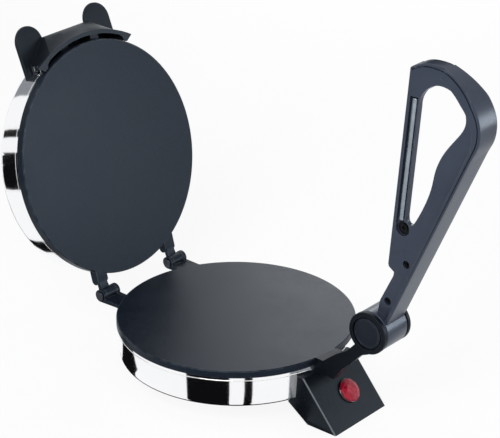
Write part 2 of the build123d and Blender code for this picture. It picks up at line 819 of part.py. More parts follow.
def bracket_foot_screws():
    """Screws from inside the pan into the foot of the lever bracket."""
    screws = []
    for x in foot_fixing_x:
        seat = screw_seat(base_drum_size, x, plate_top_z - foot_fixing_z)
        end = seat - foot_fixing_reach
        screws.append(screw_y(x, foot_fixing_z, seat, end, foot_fixing_radius, foot_fixing_head_radius))
    return Compound(screws)


def pivot_pin():
    """Steel pin held in the bracket's cheek and the far collar."""
    near = cap_seat_depth - cheek_outer_x
    return rod_x(pivot_pin_radius, near, cheek_outer_x - cap_seat_depth, pivot_y, pivot_z)


def pivot_collar():
    """Round end collar that keeps the lever on its pin at the far side."""
    collar = rod_x(collar_radius, cheek_inner_x, cheek_inner_x + collar_thickness, pivot_y, pivot_z)
    collar = fillet(collar.edges().sort_by(Axis.X)[-1:], cheek_edge_round)
    collar -= rod_x(cap_seat_radius, cheek_outer_x - cap_seat_depth, far, pivot_y, pivot_z)
    return collar - rod_x(pivot_pin_radius + screw_fit, 0, far, pivot_y, pivot_z)


def pivot_caps():
    """Plain discs that close the recesses at both ends of the pivot."""
    caps = []
    for side in (-1, 1):
        seat = side * (cheek_outer_x - cap_seat_depth + cap_fit)
        face = seat + side * cap_thickness
        cap = rod_x(cap_radius, seat, face, pivot_y, pivot_z)
        groove = rod_x(cap_radius - 1.2, face - side * 0.4, face, pivot_y, pivot_z)
        caps.append(cap - (groove - rod_x(cap_radius - 2.0, -far, far, pivot_y, pivot_z)))
    return Compound(caps)


def pivot_washers():
    """Thin washers between the barrel and its neighbours on the pin."""
    washers = []
    for side in (-1, 1):
        near = side * (barrel_half_width + washer_gap)
        end = near + side * washer_thickness
        ring = rod_x(washer_radius, near, end, pivot_y, pivot_z)
        washers.append(ring - rod_x(pivot_pin_radius + pivot_fit, -far, far, pivot_y, pivot_z))
    return Compound(washers)


# ---------------------------------------------------------------- lever

def at_pivot(points, x=0.0):
    """Lever points (outward, up) placed in the model at a given X."""
    return [(x, pivot_y + u, pivot_z + w) for u, w in points]


def strut_front(w):
    """Front edge of the straight strut at a height above the pivot."""
    return strut_base[0] - (w - strut_base[1]) * strut_lean


def head_splines(x):
    """Top of the head and its rounded outer end, joined smoothly at the crown."""
    crown = at_pivot(crown_curve, x)
    end = at_pivot(crown_curve[-1:] + head_curve + [spine_high], x)
    level = (0, crown_slope[0], crown_slope[1])
    rising = (0, crown_start[0], crown_start[1])
    falling = (0, spine_low[0] - spine_high[0], spine_low[1] - spine_high[1])
    return [Spline(*crown, tangents=[rising, level]), Spline(*end, tangents=[level, falling])]


def lever_outline(x):
    """Outer edge of the lever moulding seen from the side."""
    top = crown_curve[0]
    neck = at_pivot([
        (-2.0, 16.0), (-4.7, 30.0), (-17.6, 57.0), (-18.2, 60.8), (-12.6, 64.6), strut_base,
        (strut_front(top[1] - 1.4), top[1] - 1.4), (strut_front(top[1]) - 1.4, top[1]), top,
    ], x)
    spine = at_pivot([spine_high, spine_low, (-13.0, 4.0), (-2.0, 16.0)], x)
    return [Polyline(*neck)] + head_splines(x) + [Polyline(*spine)]


def grip_opening(x):
    """The D-shaped hand opening between the strut and the spine."""
    left_low = (strut_front(opening_low) - strut_width, opening_low)
    left_high = (strut_front(opening_high) - strut_width, opening_high)
    curve = at_pivot([left_high] + opening_curve, x)
    low_end = at_pivot([opening_curve[-1], opening_toe, left_low], x)
    return [Spline(*curve), Spline(*low_end), Polyline(*at_pivot([left_low, left_high], x))]


def from_edges(pieces, amount):
    """Face from joined outline pieces, pushed along +X."""
    edges = [e for piece in pieces for e in piece.edges()]
    return extrude(make_face(edges), amount=amount, dir=(1, 0, 0))


def inward(points, amounts):
    """Open run of points, each moved to the left-hand side by its own amount."""
    moved = []
    for k, (here, amount) in enumerate(zip(points, amounts)):
        before = points[max(k - 1, 0)]
        after = points[min(k + 1, len(points) - 1)]
        along = unit(before, after)
        moved.append((here[0] - along[1] * amount, here[1] + along[0] * amount))
    return moved


def flange():
    """Wide outer edge of the spine, narrowing over the head and rounded at the pivot."""
    x = -flange_half
    outer = crown_curve[-1:] + head_curve + [spine_high]
    inner = inward(outer, flange_depths)
    inner_low = inward([spine_high, spine_low], [flange_depths[-1], flange_low_depth])[1]
    edges = [
        head_splines(x)[1],
        Polyline(*at_pivot([spine_high, spine_low, (-11.0, 0.0), (-7.0, 2.0), inner_low, inner[-1]], x)),
        Spline(*at_pivot(inner, x)),
        Polyline(*at_pivot([inner[0], outer[0]], x)),
    ]
    band = from_edges(edges, 2 * flange_half)
    outline = [e for e in band.edges() if abs(abs(e.position_at(0.5).X) - flange_half) < 0.01 and e.length > far]
    bends = sorted((e for e in outline if e.geom_type != GeomType.LINE), key=lambda e: -e.length)
    runs = sorted((e for e in outline if e.geom_type == GeomType.LINE), key=lambda e: e.position_at(0.5).Y)
    band = fillet(bends[:2] + runs[:2], flange_round)
    low = -far
    narrow, top = flange_taper
    slim = web_half - 0.6
    taper = Polyline(*[(side * half, pivot_y, pivot_z + w) for side, half, w in (
        (-1, flange_half, low), (-1, flange_half, narrow), (-1, slim, top), (-1, slim, top + far),
        (1, slim, top + far), (1, slim, top), (1, flange_half, narrow), (1, flange_half, low),
    )], close=True)
    return band & extrude(make_face(taper), amount=2 * far, dir=(0, -1, 0))


def pocket(points):
    """Hollow in the far side of the moulding, down to its skin."""
    outline = Polyline(*at_pivot(points, skin - web_half), close=True)
    return from_edges([outline], far)


def lever_grip():
    """Moulded lever: barrel, skin with a hand opening, wide flange and a hollow back."""
    near = -web_half
    body = from_edges(lever_outline(near), 2 * web_half)
    faces = [e for e in body.edges() if abs(abs(e.position_at(0.5).X) - web_half) < 0.01 and e.length > web_half]
    body = fillet([e for e in faces if e.position_at(0.5).Z > pivot_z + crown_curve[0][1]], crown_round)
    body += flange()
    barrel = rod_x(barrel_radius, -barrel_half_width, barrel_half_width, pivot_y, pivot_z)
    body += fillet(barrel.edges().filter_by(GeomType.CIRCLE), barrel_edge_round)
    body -= Pos(-1, 0, 0) * from_edges(grip_opening(near), 2 * web_half + 2)
    top = pocket_top
    body -= pocket([
        (strut_front(top) - 3.5, top), (strut_front(top) - strut_width - 4, top),
        (-44.0, 117.0), (-33.0, 92.0), (strut_front(92) - 3.5, 92.0),
    ])
    body -= pocket(low_pocket)
    body -= rod_x(bush_outer, -far, far, pivot_y, pivot_z)
    front = rod_channel_inset
    back = rod_channel_inset + rod_channel_width
    low = rod_low - 4.0
    high = rod_high + 1.5
    channel = at_pivot([
        (strut_front(high) - front, high), (strut_front(high) - back, high),
        (strut_front(low) - back, low), (strut_front(low) - front, low),
    ], near - 1)
    body -= from_edges([Polyline(*channel, close=True)], rod_channel_depth + 1)
    for u, w in lever_screw_places:
        seat = near + lever_screw_sink + lever_screw_head_height
        body -= rod_x(lever_screw_head + 0.3, near - 1, seat, pivot_y + u, pivot_z + w)
        body -= rod_x(lever_screw_radius + hinge_fit, near, 0, pivot_y + u, pivot_z + w)
    u, w = rod_stop_place
    body -= rod_x(rod_stop_pocket, near - 1, near + rod_channel_depth + 0.3, pivot_y + u, pivot_z + w)
    return one(body)


def lever_bush():
    """Steel sleeve moulded into the barrel, turning on the pivot pin."""
    inner = pivot_pin_radius + pivot_fit
    return ring_x(bush_outer - screw_fit, inner, -barrel_half_width, barrel_half_width, pivot_y, pivot_z)


def lever_rod():
    """Bright stiffening rod lying in the channel of the strut."""
    shift = rod_channel_inset + rod_channel_width / 2
    x = rod_radius * 0.9 - web_half
    start = Vector(x, pivot_y + strut_front(rod_low) - shift, pivot_z + rod_low)
    end = Vector(x, pivot_y + strut_front(rod_high) - shift, pivot_z + rod_high)
    along = end - start
    disc = make_face(Edge.make_circle(rod_radius, Plane(origin=start, z_dir=along)))
    bar = extrude(disc, amount=along.length, dir=along.normalized())
    floor = rod_channel_depth - web_half
    behind = slab((floor, floor + far), (pivot_y - 2 * far, pivot_y + far), (pivot_z, pivot_z + 5 * far))
    return one(bar - behind)


def lever_strap():
    """Steel core strap in the lower back of the moulding, bolted through its screws."""
    outline = Polyline(*at_pivot(shrink(low_pocket, [-0.4] * len(low_pocket)), skin - web_half), close=True)
    strap = from_edges([outline], strap_thickness)
    u, w = lever_screw_places[0]
    return one(strap - rod_x(lever_screw_radius + screw_fit, -far, far, pivot_y + u, pivot_z + w))


def lever_screws():
    """Screws sunk in the skin, and the button that ends the rod channel."""
    screws = []
    head = lever_screw_sink - web_half
    seat = head + lever_screw_head_height
    ends = (skin + strap_thickness - web_half, seat + 1.0)
    for (u, w), end in zip(lever_screw_places, ends):
        screw = rod_x(lever_screw_radius, head, end, pivot_y + u, pivot_z + w)
        screws.append(screw + rod_x(lever_screw_head, head, seat, pivot_y + u, pivot_z + w))
    u, w = rod_stop_place
    seat = rod_channel_depth + 0.3 - web_half
    screws.append(rod_x(rod_stop_radius, seat - 1.8, seat, pivot_y + u, pivot_z + w))
    return Compound(screws)


# ---------------------------------------------------------------- terminal box

def box_outline():
    """Side outline of the box: foot, sloping front, top, and the undercut back."""
    back = [(-plate_radius - reach, z) for reach, z in box_back_points]
    return [box_front_foot, box_top, (-plate_radius - box_top_reach[1], box_height)] + back


def box_inside(wall):
    """Side outline of the hollow, open at the floor."""
    return shrink(box_outline(), [wall, wall, wall, wall, wall, 0.0])


def lamp_plane():
    """Frame on the sloping front of the box, where the lamp sits."""
    along = unit(box_front_foot, box_top)
    centre = (lamp_x, box_front_foot[0] + along[0] * lamp_offset, box_front_foot[1] + along[1] * lamp_offset)
    return Plane(origin=centre, x_dir=(1, 0, 0), z_dir=(0, -along[1], along[0]))


def terminal_box():
    """Wedge-shaped housing for the mains terminals, open below, hollowed to its walls."""
    w = box_half_width
    solid = side_plate(box_outline(), -w, w)
    slope = unit(box_front_foot, box_top)
    uprights = [e for e in solid.edges() if e.tangent_at(0.5).dot(Vector(0, *slope)) ** 2 > 0.999]
    solid = fillet(uprights, box_edge_round)
    shell = solid - side_plate(box_inside(box_wall), box_wall - w, w - box_wall)
    for side in (-1, 1):
        post = rod_z(box_post_radius, box_cover_thickness, box_post_height, side * box_post_x, box_post_y)
        shell += post & solid
        boss_x = side * box_screw_x
        boss = slab((boss_x - 4, boss_x + 4), (box_top[0] - 9, wall_cut[1]), (box_screw_z - 4.5, box_height - 1))
        shell += boss & solid
    shell -= in_base(drum_outside(base_drum_size, wall_fit))
    for side in (-1, 1):
        shell -= rod_z(screw_radius + screw_fit, 0, cover_screw_tip + 1, side * box_post_x, box_post_y)
        shell -= rod_y(screw_radius + screw_fit, *box_screw_cut, side * box_screw_x, box_screw_z)
    shell -= lamp_plane() * Cylinder(lamp_body_radius + 0.2, 2 * lamp_body_length)
    shell -= rod_x(gland_bore_radius + 2.0, w - box_wall - 1, w + 1, gland_y, gland_z)
    return one(shell)


def terminal_box_screws():
    """Screws from inside the pan into the bosses of the box."""
    screws = []
    for x in (-box_screw_x, box_screw_x):
        seat = screw_seat(base_drum_size, x, plate_top_z - box_screw_z)
        screws.append(screw_y(x, box_screw_z, seat, seat - box_screw_reach))
    return Compound(screws)


def terminal_box_cover():
    """Flat bottom plate of the box, which also stands on the worktop."""
    w = box_half_width - box_wall - 0.15
    inside = side_plate(box_inside(box_wall + 0.15), -w, w)
    plate = inside & slab((-w, w), (pivot_y - far, 0), (0, box_cover_thickness))
    for x in (-box_post_x, box_post_x):
        plate -= rod_z(screw_radius + screw_hole_gap, -1, 5, x, box_post_y)
        plate -= rod_z(screw_head_radius + 0.2, -1, cover_screw_head + 0.2, x, box_post_y)
    return one(plate)


def box_cover_screws():
    """Screws sunk in the bottom plate, one into each post."""
    z = cover_screw_head + 0.2
    places = (-box_post_x, box_post_x)
    return Compound([screw_z(x, box_post_y, z, cover_screw_tip, cover_screw_head) for x in places])


def terminal_block():
    """Three-way connector on the floor of the box."""
    low = box_cover_thickness
    block = slab(block_x, block_y, (low, low + block_height))
    for x in block_ways:
        block -= rod_z(block_way_radius, low + 4, low + block_height + 1, x, sum(block_y) / 2)
    return block


def indicator_bezel():
    """Round collar of the neon lamp, seated on the sloping face."""
    ring = tube(lamp_bezel_radius, lamp_lens_radius + 0.1, 0.0, lamp_bezel_height)
    rims = ring.edges().filter_by(GeomType.CIRCLE)
    outer = [e for e in rims if e.radius > lamp_lens_radius + 1 and e.center().Z > 1]
    return lamp_plane() * chamfer(outer, 0.7)


def indicator_lens():
    """Red faceted lens: a many-sided crown on a round foot."""
    foot = rod_z(lamp_lens_radius, 0.0, lamp_bezel_height)
    low = Pos(0, 0, lamp_bezel_height) * RegularPolygon(lamp_lens_radius, 10)
    high = Pos(0, 0, lamp_bezel_height + 3.6) * RegularPolygon(lamp_lens_radius * 0.62, 10)
    return lamp_plane() * (foot + loft([low, high]))


def indicator_holder():
    """Lamp barrel behind the panel, with two tags."""
    barrel = rod_z(lamp_body_radius, -lamp_body_length, 0.0)
    tag_z = (-lamp_body_length - lamp_tag_length, 0.5 - lamp_body_length)
    for x in (-3, 3):
        barrel += slab((x - 0.4, x + 0.4), (-2.4, 2.4), tag_z)
    return lamp_plane() * barrel


def cord_gland():
    """Threaded inlet collar on the hidden side of the box."""
    w = box_half_width
    collar = rod_x(gland_bore_radius + 1.9, w - box_wall - 2, w, gland_y, gland_z)
    collar += rod_x(gland_bore_radius + 4.2, w, w + 3.0, gland_y, gland_z)
    collar += rod_x(gland_bore_radius + 2.6, w + 3.0, w + 8.0, gland_y, gland_z)
    return collar - rod_x(gland_bore_radius, 0, far, gland_y, gland_z)


# ---------------------------------------------------------------- grommets and feet

def lead_grommet(drum_size, z):
    """Rubber bush in the drum wall at the back, in the drum's own frame."""
    wide = grommet_radius + grommet_flange
    inside = drum_radius(drum_size, z + wide) - sheet
    inner_face = math.sqrt(inside ** 2 - wide ** 2) - wall_fit
    outer_face = drum_radius(drum_size, z - wide) + wall_fit
    body = rod_y(grommet_radius - wall_fit, inner_face - 1.6, outer_face + 2.4, 0, z)
    body += rod_y(wide, inner_face - 1.6, inner_face, 0, z)
    body += rod_y(wide, outer_face, outer_face + 2.4, 0, z)
    return body - rod_y(grommet_bore, inner_face - 5, outer_face + 5, 0, z)


def rear_feet():
    """Rubber feet under the back of the base drum."""
    feet = []
    for x in (-foot_x, foot_x):
        foot = turned([(0, 0), (foot_bottom_radius, 0), (foot_top_radius, base_bottom_z), (0, base_bottom_z)])
        foot -= rod_z(screw_head_radius + 0.4, -1, foot_screw_seat)
        foot -= rod_z(screw_radius + hinge_fit, 0, far)
        feet.append(Pos(x, foot_y, 0) * foot)
    return Compound(feet)


def foot_screws():
    """Screws up through the feet into the pan."""
    tip = base_bottom_z + sheet + 3
    return Compound([
        screw_z(x, foot_y, foot_screw_seat, tip, screw_head_height) for x in (-foot_x, foot_x)
    ])


# ---------------------------------------------------------------- export

def write(name, shape):
    """Write one node; a name ending in s may hold several separate solids."""
    export_step(Pos(0, outline_shift_y, 0) * shape, f"parts/{name}.step")


write("lower_plate", lower_plate())
write("upper_plate", upper_plate())
write("base_drum", base_drum())
write("lid_drum", lid_drum())
for part, shape in heater_stack(base_drum_depth, base_insulation_thickness).items():
    write(f"base_{part}", in_base(shape))
for part, shape in heater_stack(lid_drum_depth, lid_insulation_thickness).items():
    write(f"lid_{part}", in_lid(shape))
write("hinge_pins", hinge_pins())
write("hinge_circlips", hinge_circlips())
write("lid_bracket", lid_bracket())
write("lid_bracket_screws", lid_bracket_screws())
write("lid_bracket_clips", lid_bracket_clips())
write("pressure_saddle", pressure_saddle())
write("saddle_screws", saddle_screws())
write("lever_bracket", lever_bracket())
write("bracket_foot_screws", bracket_foot_screws())
write("pivot_pin", pivot_pin())
write("pivot_collar", pivot_collar())
write("pivot_caps", pivot_caps())
write("pivot_washers", pivot_washers())
write("lever_grip", lever_grip())
write("lever_bush", lever_bush())
write("lever_rod", lever_rod())
write("lever_strap", lever_strap())
write("lever_screws", lever_screws())
write("terminal_box", terminal_box())
write("terminal_box_screws", terminal_box_screws())
write("terminal_box_cover", terminal_box_cover())
write("box_cover_screws", box_cover_screws())
write("terminal_block", terminal_block())
write("indicator_bezel", indicator_bezel())
write("indicator_lens", indicator_lens())
write("indicator_holder", indicator_holder())
write("cord_gland", cord_gland())
write("base_lead_grommet", in_base(lead_grommet(base_drum_size, plate_top_z - base_lead_z)))
write("lid_lead_grommet", in_lid(lead_grommet(lid_drum_size, lid_lead_z)))
write("rear_feet", rear_feet())
write("foot_screws", foot_screws())
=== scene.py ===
import bpy
import bmesh
import json
from math import atan2, cos, pi, radians, sin
from mathutils import Euler, Matrix, Vector
from mathutils.bvhtree import BVHTree
from mathutils.geometry import convex_hull_2d


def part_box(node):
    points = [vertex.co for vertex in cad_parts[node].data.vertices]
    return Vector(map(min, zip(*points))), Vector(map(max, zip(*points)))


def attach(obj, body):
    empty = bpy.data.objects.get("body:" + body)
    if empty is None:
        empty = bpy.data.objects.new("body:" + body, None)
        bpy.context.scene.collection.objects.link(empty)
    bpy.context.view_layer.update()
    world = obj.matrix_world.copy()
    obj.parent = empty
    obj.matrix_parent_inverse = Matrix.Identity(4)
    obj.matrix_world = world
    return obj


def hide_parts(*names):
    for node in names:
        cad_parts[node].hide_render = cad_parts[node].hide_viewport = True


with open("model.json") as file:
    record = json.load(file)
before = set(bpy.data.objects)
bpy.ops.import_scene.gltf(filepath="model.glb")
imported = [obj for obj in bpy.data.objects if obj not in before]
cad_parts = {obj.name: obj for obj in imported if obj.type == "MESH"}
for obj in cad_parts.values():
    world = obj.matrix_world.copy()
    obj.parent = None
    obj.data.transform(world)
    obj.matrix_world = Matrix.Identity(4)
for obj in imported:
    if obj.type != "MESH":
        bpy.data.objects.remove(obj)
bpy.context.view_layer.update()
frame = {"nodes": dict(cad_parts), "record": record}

# ============================================================ the studio
# A pale paper floor under a white room. The floor takes the machine's soft shadow, and
# both look white to the camera and in the chrome. Three soft lamps light the machine.

PAPER_WHITE = (0.95, 0.95, 0.96, 1.0)
PURE_WHITE = (1.0, 1.0, 1.0, 1.0)
COOL_GLEAM = (0.95, 0.97, 1.0, 1.0)
ROOM_WHITE = (0.96, 0.98, 1.0, 1.0)
ROOM_STRENGTH = 0.50
SHADOW_SHARE = 0.14
FLOOR_HALF = 6.0
FLOOR_DROP = 0.0002


def feed(tree, socket, value):
    """Links a socket to another one, or sets it to a plain value."""
    if isinstance(value, bpy.types.NodeSocket):
        tree.links.new(value, socket)
    else:
        socket.default_value = value


def maths(tree, operation, *values):
    """Output of a Math node that is fed with sockets or numbers."""
    step = tree.nodes.new("ShaderNodeMath")
    step.operation = operation
    for socket, value in zip(step.inputs, values):
        feed(tree, socket, value)
    return step.outputs[0]


def tinted(tree, share, first, second):
    """Colour between two others, from none of the second one to all of it."""
    blend = tree.nodes.new("ShaderNodeMix")
    blend.data_type = "RGBA"
    for place, value in ((0, share), (6, first), (7, second)):
        feed(tree, blend.inputs[place], value)
    return blend.outputs[2]


def either_shader(tree, share, first, second):
    """Output of a Mix Shader node."""
    blend = tree.nodes.new("ShaderNodeMixShader")
    for socket, value in zip(blend.inputs, (share, first, second)):
        feed(tree, socket, value)
    return blend.outputs[0]


sheet = bmesh.new()
bmesh.ops.create_grid(sheet, x_segments=1, y_segments=1, size=FLOOR_HALF)
bmesh.ops.translate(sheet, verts=sheet.verts, vec=(0.0, 0.0, -FLOOR_DROP))
floor_mesh = bpy.data.meshes.new("studio_floor")
sheet.to_mesh(floor_mesh)
sheet.free()
studio_floor = bpy.data.objects.new("studio_floor", floor_mesh)
bpy.context.scene.collection.objects.link(studio_floor)

floor_paper = bpy.data.materials.new("studio_paper")
floor_paper.use_nodes = True
tree = floor_paper.node_tree
paper = tree.nodes["Principled BSDF"]
paper.inputs["Base Color"].default_value = PAPER_WHITE
paper.inputs["Roughness"].default_value = 0.9
paper.inputs["Specular IOR Level"].default_value = 0.1
path = tree.nodes.new("ShaderNodeLightPath")
glow = tree.nodes.new("ShaderNodeEmission")
feed(tree, glow.inputs["Color"], tinted(tree, path.outputs["Is Camera Ray"], COOL_GLEAM, PURE_WHITE))
seen = maths(tree, "MULTIPLY", path.outputs["Is Camera Ray"], 1.0 - SHADOW_SHARE)
share = maths(tree, "MAXIMUM", seen, path.outputs["Is Glossy Ray"])
surface = either_shader(tree, share, paper.outputs[0], glow.outputs[0])
feed(tree, tree.nodes["Material Output"].inputs["Surface"], surface)
floor_mesh.materials.append(floor_paper)

room = bpy.data.worlds.new("white_room")
room.use_nodes = True
bpy.context.scene.world = room
tree = room.node_tree
tree.nodes.clear()
path = tree.nodes.new("ShaderNodeLightPath")
soft = tree.nodes.new("ShaderNodeBackground")
soft.inputs["Color"].default_value = ROOM_WHITE
soft.inputs["Strength"].default_value = ROOM_STRENGTH
bright = tree.nodes.new("ShaderNodeBackground")
seen = maths(tree, "MAXIMUM", path.outputs["Is Camera Ray"], path.outputs["Is Transmission Ray"])
feed(tree, bright.inputs["Color"], tinted(tree, seen, COOL_GLEAM, PURE_WHITE))
share = maths(tree, "MAXIMUM", seen, path.outputs["Is Glossy Ray"])
surface = either_shader(tree, share, soft.outputs[0], bright.outputs[0])
feed(tree, tree.nodes.new("ShaderNodeOutputWorld").inputs["Surface"], surface)


def soft_lamp(name, place, target, size, watts):
    """Large square lamp hung in the room, turned towards a point."""
    lamp = bpy.data.lights.new(name, "AREA")
    lamp.shape = "SQUARE"
    lamp.size = size
    lamp.energy = watts
    holder = bpy.data.objects.new(name, lamp)
    bpy.context.scene.collection.objects.link(holder)
    holder.location = place
    holder.rotation_euler = (Vector(target) - Vector(place)).to_track_quat("-Z", "Y").to_euler()


OVER_PLATE = (0.0, 0.0, 0.1)
ON_LEVER = (0.0, -0.22, 0.2)
RIM_LAMP = Vector((1.33, 0.74, 0.72))
soft_lamp("key_lamp", (-1.25, -0.45, 1.25), OVER_PLATE, size=0.8, watts=17.0)
soft_lamp("front_lamp", (0.85, -1.10, 0.30), ON_LEVER, size=0.45, watts=6.0)
soft_lamp("rim_lamp", RIM_LAMP, OVER_PLATE, size=0.6, watts=4.4)

# The camera stands high at the front left, far back with a long lens.
CAMERA_PLACE = Vector((-1.33119, -1.11930, 0.96135))
CAMERA_TURN = (65.2187, -0.3308, -49.7786)
camera = bpy.data.cameras.new("photo_camera")
camera.sensor_width = 36.0
camera.lens = 154.19
camera.clip_start = 0.1
camera_holder = bpy.data.objects.new("photo_camera", camera)
bpy.context.scene.collection.objects.link(camera_holder)
camera_holder.location = CAMERA_PLACE
camera_holder.rotation_euler = Euler([radians(angle) for angle in CAMERA_TURN])
bpy.context.scene.camera = camera_holder
bpy.context.scene.view_settings.view_transform = "Standard"

# ============================================================ dark studio cards
# Black and grey cards that only reflections show, laid on the floor and hung far off. Each
# is the mirror image, as the camera sees it, of one dark bar in the chrome of a drum.

CARD_BLACK = (0.004, 0.004, 0.005, 1.0)
CARD_GREY = (0.24, 0.26, 0.29, 1.0)
CARD_LIFT = 0.0004
BACKDROP_FAR = 1.4
drum_low, drum_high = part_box("base_drum")
DRUM_MIDDLE = Vector((0.0, (drum_low.y + drum_high.y) / 2, 0.0))
DRUM_RADIUS = (drum_high.x - drum_low.x) / 2


def card_paint(name, colour):
    """Even dark glow, so that a card looks the same from every side."""
    shade = bpy.data.materials.new(name)
    shade.use_nodes = True
    tree = shade.node_tree
    tree.nodes.clear()
    even = tree.nodes.new("ShaderNodeEmission")
    even.inputs["Color"].default_value = colour
    feed(tree, tree.nodes.new("ShaderNodeOutputMaterial").inputs["Surface"], even.outputs[0])
    return shade


black_card = card_paint("black_card", CARD_BLACK)
grey_card = card_paint("grey_card", CARD_GREY)


def ribbon(columns, where):
    """One row of faces; where(column, side) places the points of its two long sides."""
    form = bmesh.new()
    bmesh.ops.create_grid(form, x_segments=columns, y_segments=1, size=1.0)
    for vert in form.verts:
        column = round((vert.co.x + 1.0) * columns / 2)
        vert.co = where(column, int(vert.co.y > 0.0))
    return form


def card(name, form, shade):
    """Card that shows in reflections alone and throws no shadow."""
    mesh = bpy.data.meshes.new(name)
    form.to_mesh(mesh)
    form.free()
    mesh.materials.append(shade)
    sheet = bpy.data.objects.new(name, mesh)
    bpy.context.scene.collection.objects.link(sheet)
    sheet.visible_camera = False
    sheet.visible_diffuse = False
    sheet.visible_shadow = False
    sheet.visible_transmission = False
    return sheet


def seen_in_wall(place, azimuth, height):
    """Point that the camera sees in a drum's wall: on the floor, or far off in the room."""
    facing = Vector((cos(radians(azimuth)), sin(radians(azimuth)), 0.0))
    spot = place @ (facing * DRUM_RADIUS + Vector((0.0, 0.0, height)))
    facing = place.to_3x3() @ facing
    sight = (spot - CAMERA_PLACE).normalized()
    sight -= 2.0 * sight.dot(facing) * facing
    run = BACKDROP_FAR
    if sight.z < 0.0:
        run = min(run, (CARD_LIFT - spot.z) / sight.z)
    return spot + sight * run


def bar_cards(drum, place, heights, black_bars, grey_bar):
    """Cards for the bars of one drum, each between two azimuths and two heights."""
    bars = [(f"{drum}_bar_{k + 1}", bar, black_card) for k, bar in enumerate(black_bars)]
    bars.append((f"{drum}_grey_bar", grey_bar, grey_card))
    for name, (start, end), shade in bars:
        columns = max(2, round(end - start))

        def corner(column, side):
            return seen_in_wall(place, start + (end - start) * column / columns, heights[side])

        card(name, ribbon(columns, corner), shade)


# The lid's own frame is that of the closed lid, and its heights are measured from LID_FACE.
joints = {joint["name"]: joint for joint in frame["record"]["behaviour"]["joints"]}
LID_FACE = 0.0592
HINGE = Matrix.Translation(joints["lid_hinge"]["pos_m"])
OPENED = Matrix.Rotation(radians(-joints["lid_hinge"]["range_deg"][1]), 4, "X")
base_place = Matrix.Translation(DRUM_MIDDLE)
lid_place = HINGE @ OPENED @ HINGE.inverted() @ base_place @ Matrix.Translation((0.0, 0.0, LID_FACE))

# Bars lie between two azimuths, in degrees from +X about their drum's axis. The heights on
# the lid reach well past its wall, so that none of its bars ends short.
BASE_HEIGHTS = (0.0006, 0.045)
BASE_BARS = [(149.0, 161.0), (196.2, 217.4), (224.6, 228.5)]
LID_HEIGHTS = (-0.16, 0.26)
LID_BARS = [(180.3, 198.9), (206.6, 210.5), (141.0, 150.0)]
bar_cards("base", base_place, BASE_HEIGHTS, BASE_BARS, grey_bar=(247.0, 262.0))
bar_cards("lid", lid_place, LID_HEIGHTS, LID_BARS, grey_bar=(228.6, 244.0))

# Two cards on the floor draw the thin dark lines along the edges of the drums.
RING_RADII = (0.100, 0.117)
RING_STEPS = 60
LID_EDGE_CORNERS = [[(-0.10, 0.42), (0.22, 0.20)], [(0.36, 1.02), (0.72, 0.72)]]


def on_ring(column, side):
    """Point of the flat ring on the floor under the wall of the base."""
    turn = 2 * pi * column / RING_STEPS
    return DRUM_MIDDLE + Vector((RING_RADII[side] * cos(turn), RING_RADII[side] * sin(turn), CARD_LIFT))


# The ring under the base is painted shadow: it stands for the shade on the floor beneath the machine, seen
# only in the chrome.
card("base_edge_card", ribbon(RING_STEPS, on_ring), black_card)


def lid_edge_corner(column, side):
    """Corner of the card that lies on the floor behind the machine."""
    return Vector((*LID_EDGE_CORNERS[column][side], CARD_LIFT))


card("lid_edge_card", ribbon(1, lid_edge_corner), black_card)

# One more card, between the rim lamp and the crown of the lever, keeps the glare off it.
CROWN_INSET = 0.035
CROWN_CARD_OFF = 0.35
CROWN_CARD_HALF = 0.085
grip_low, grip_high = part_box("lever_grip")
crown = Vector((0.0, grip_low.y + CROWN_INSET, grip_high.z))
to_lamp = (RIM_LAMP - crown).normalized()
across = to_lamp.cross(Vector((0.0, 0.0, 1.0))).normalized()
rise = across.cross(to_lamp)
hung = crown + to_lamp * CROWN_CARD_OFF


def crown_corner(column, side):
    """Corner of the square card that faces the rim lamp."""
    return hung + CROWN_CARD_HALF * (across * (2 * column - 1) + rise * (2 * side - 1))


card("crown_card", ribbon(1, crown_corner), black_card).visible_shadow = True

# ============================================================ hotplates
# Two cast aluminium discs under a dark, slightly mottled non-stick coating, with the
# hinge forks and lugs cast on. The coating is fine-grained; its edges turn lighter, part wear and part
# painted highlight.


def shader_group(name, inputs, build):
    """Node group from named inputs; build wires it and gives the sockets that leave it."""
    group = bpy.data.node_groups.new(name, "ShaderNodeTree")
    for label, kind, value in inputs:
        group.interface.new_socket(label, in_out="INPUT", socket_type=kind).default_value = value
    entry = group.nodes.new("NodeGroupInput").outputs
    leave = group.nodes.new("NodeGroupOutput").inputs
    for label, kind, source in build(group, entry):
        group.interface.new_socket(label, in_out="OUTPUT", socket_type=kind)
        group.links.new(source, leave[label])
    return group


def noise(tree, scale, detail, roughness=0.5):
    """Noise over a piece's own coordinates, from 0 to 1."""
    where = tree.nodes.new("ShaderNodeTexCoord")
    field = tree.nodes.new("ShaderNodeTexNoise")
    for label, value in (("Scale", scale), ("Detail", detail), ("Roughness", roughness)):
        feed(tree, field.inputs[label], value)
    tree.links.new(where.outputs["Object"], field.inputs["Vector"])
    return field.outputs["Fac"]


def stretched(tree, value, low, high, first=0.0, last=1.0):
    """Value's place between low and high, moved to lie between first and last."""
    ramp = tree.nodes.new("ShaderNodeMapRange")
    for socket, number in zip(ramp.inputs, (value, low, high, first, last)):
        feed(tree, socket, number)
    return ramp.outputs["Result"]


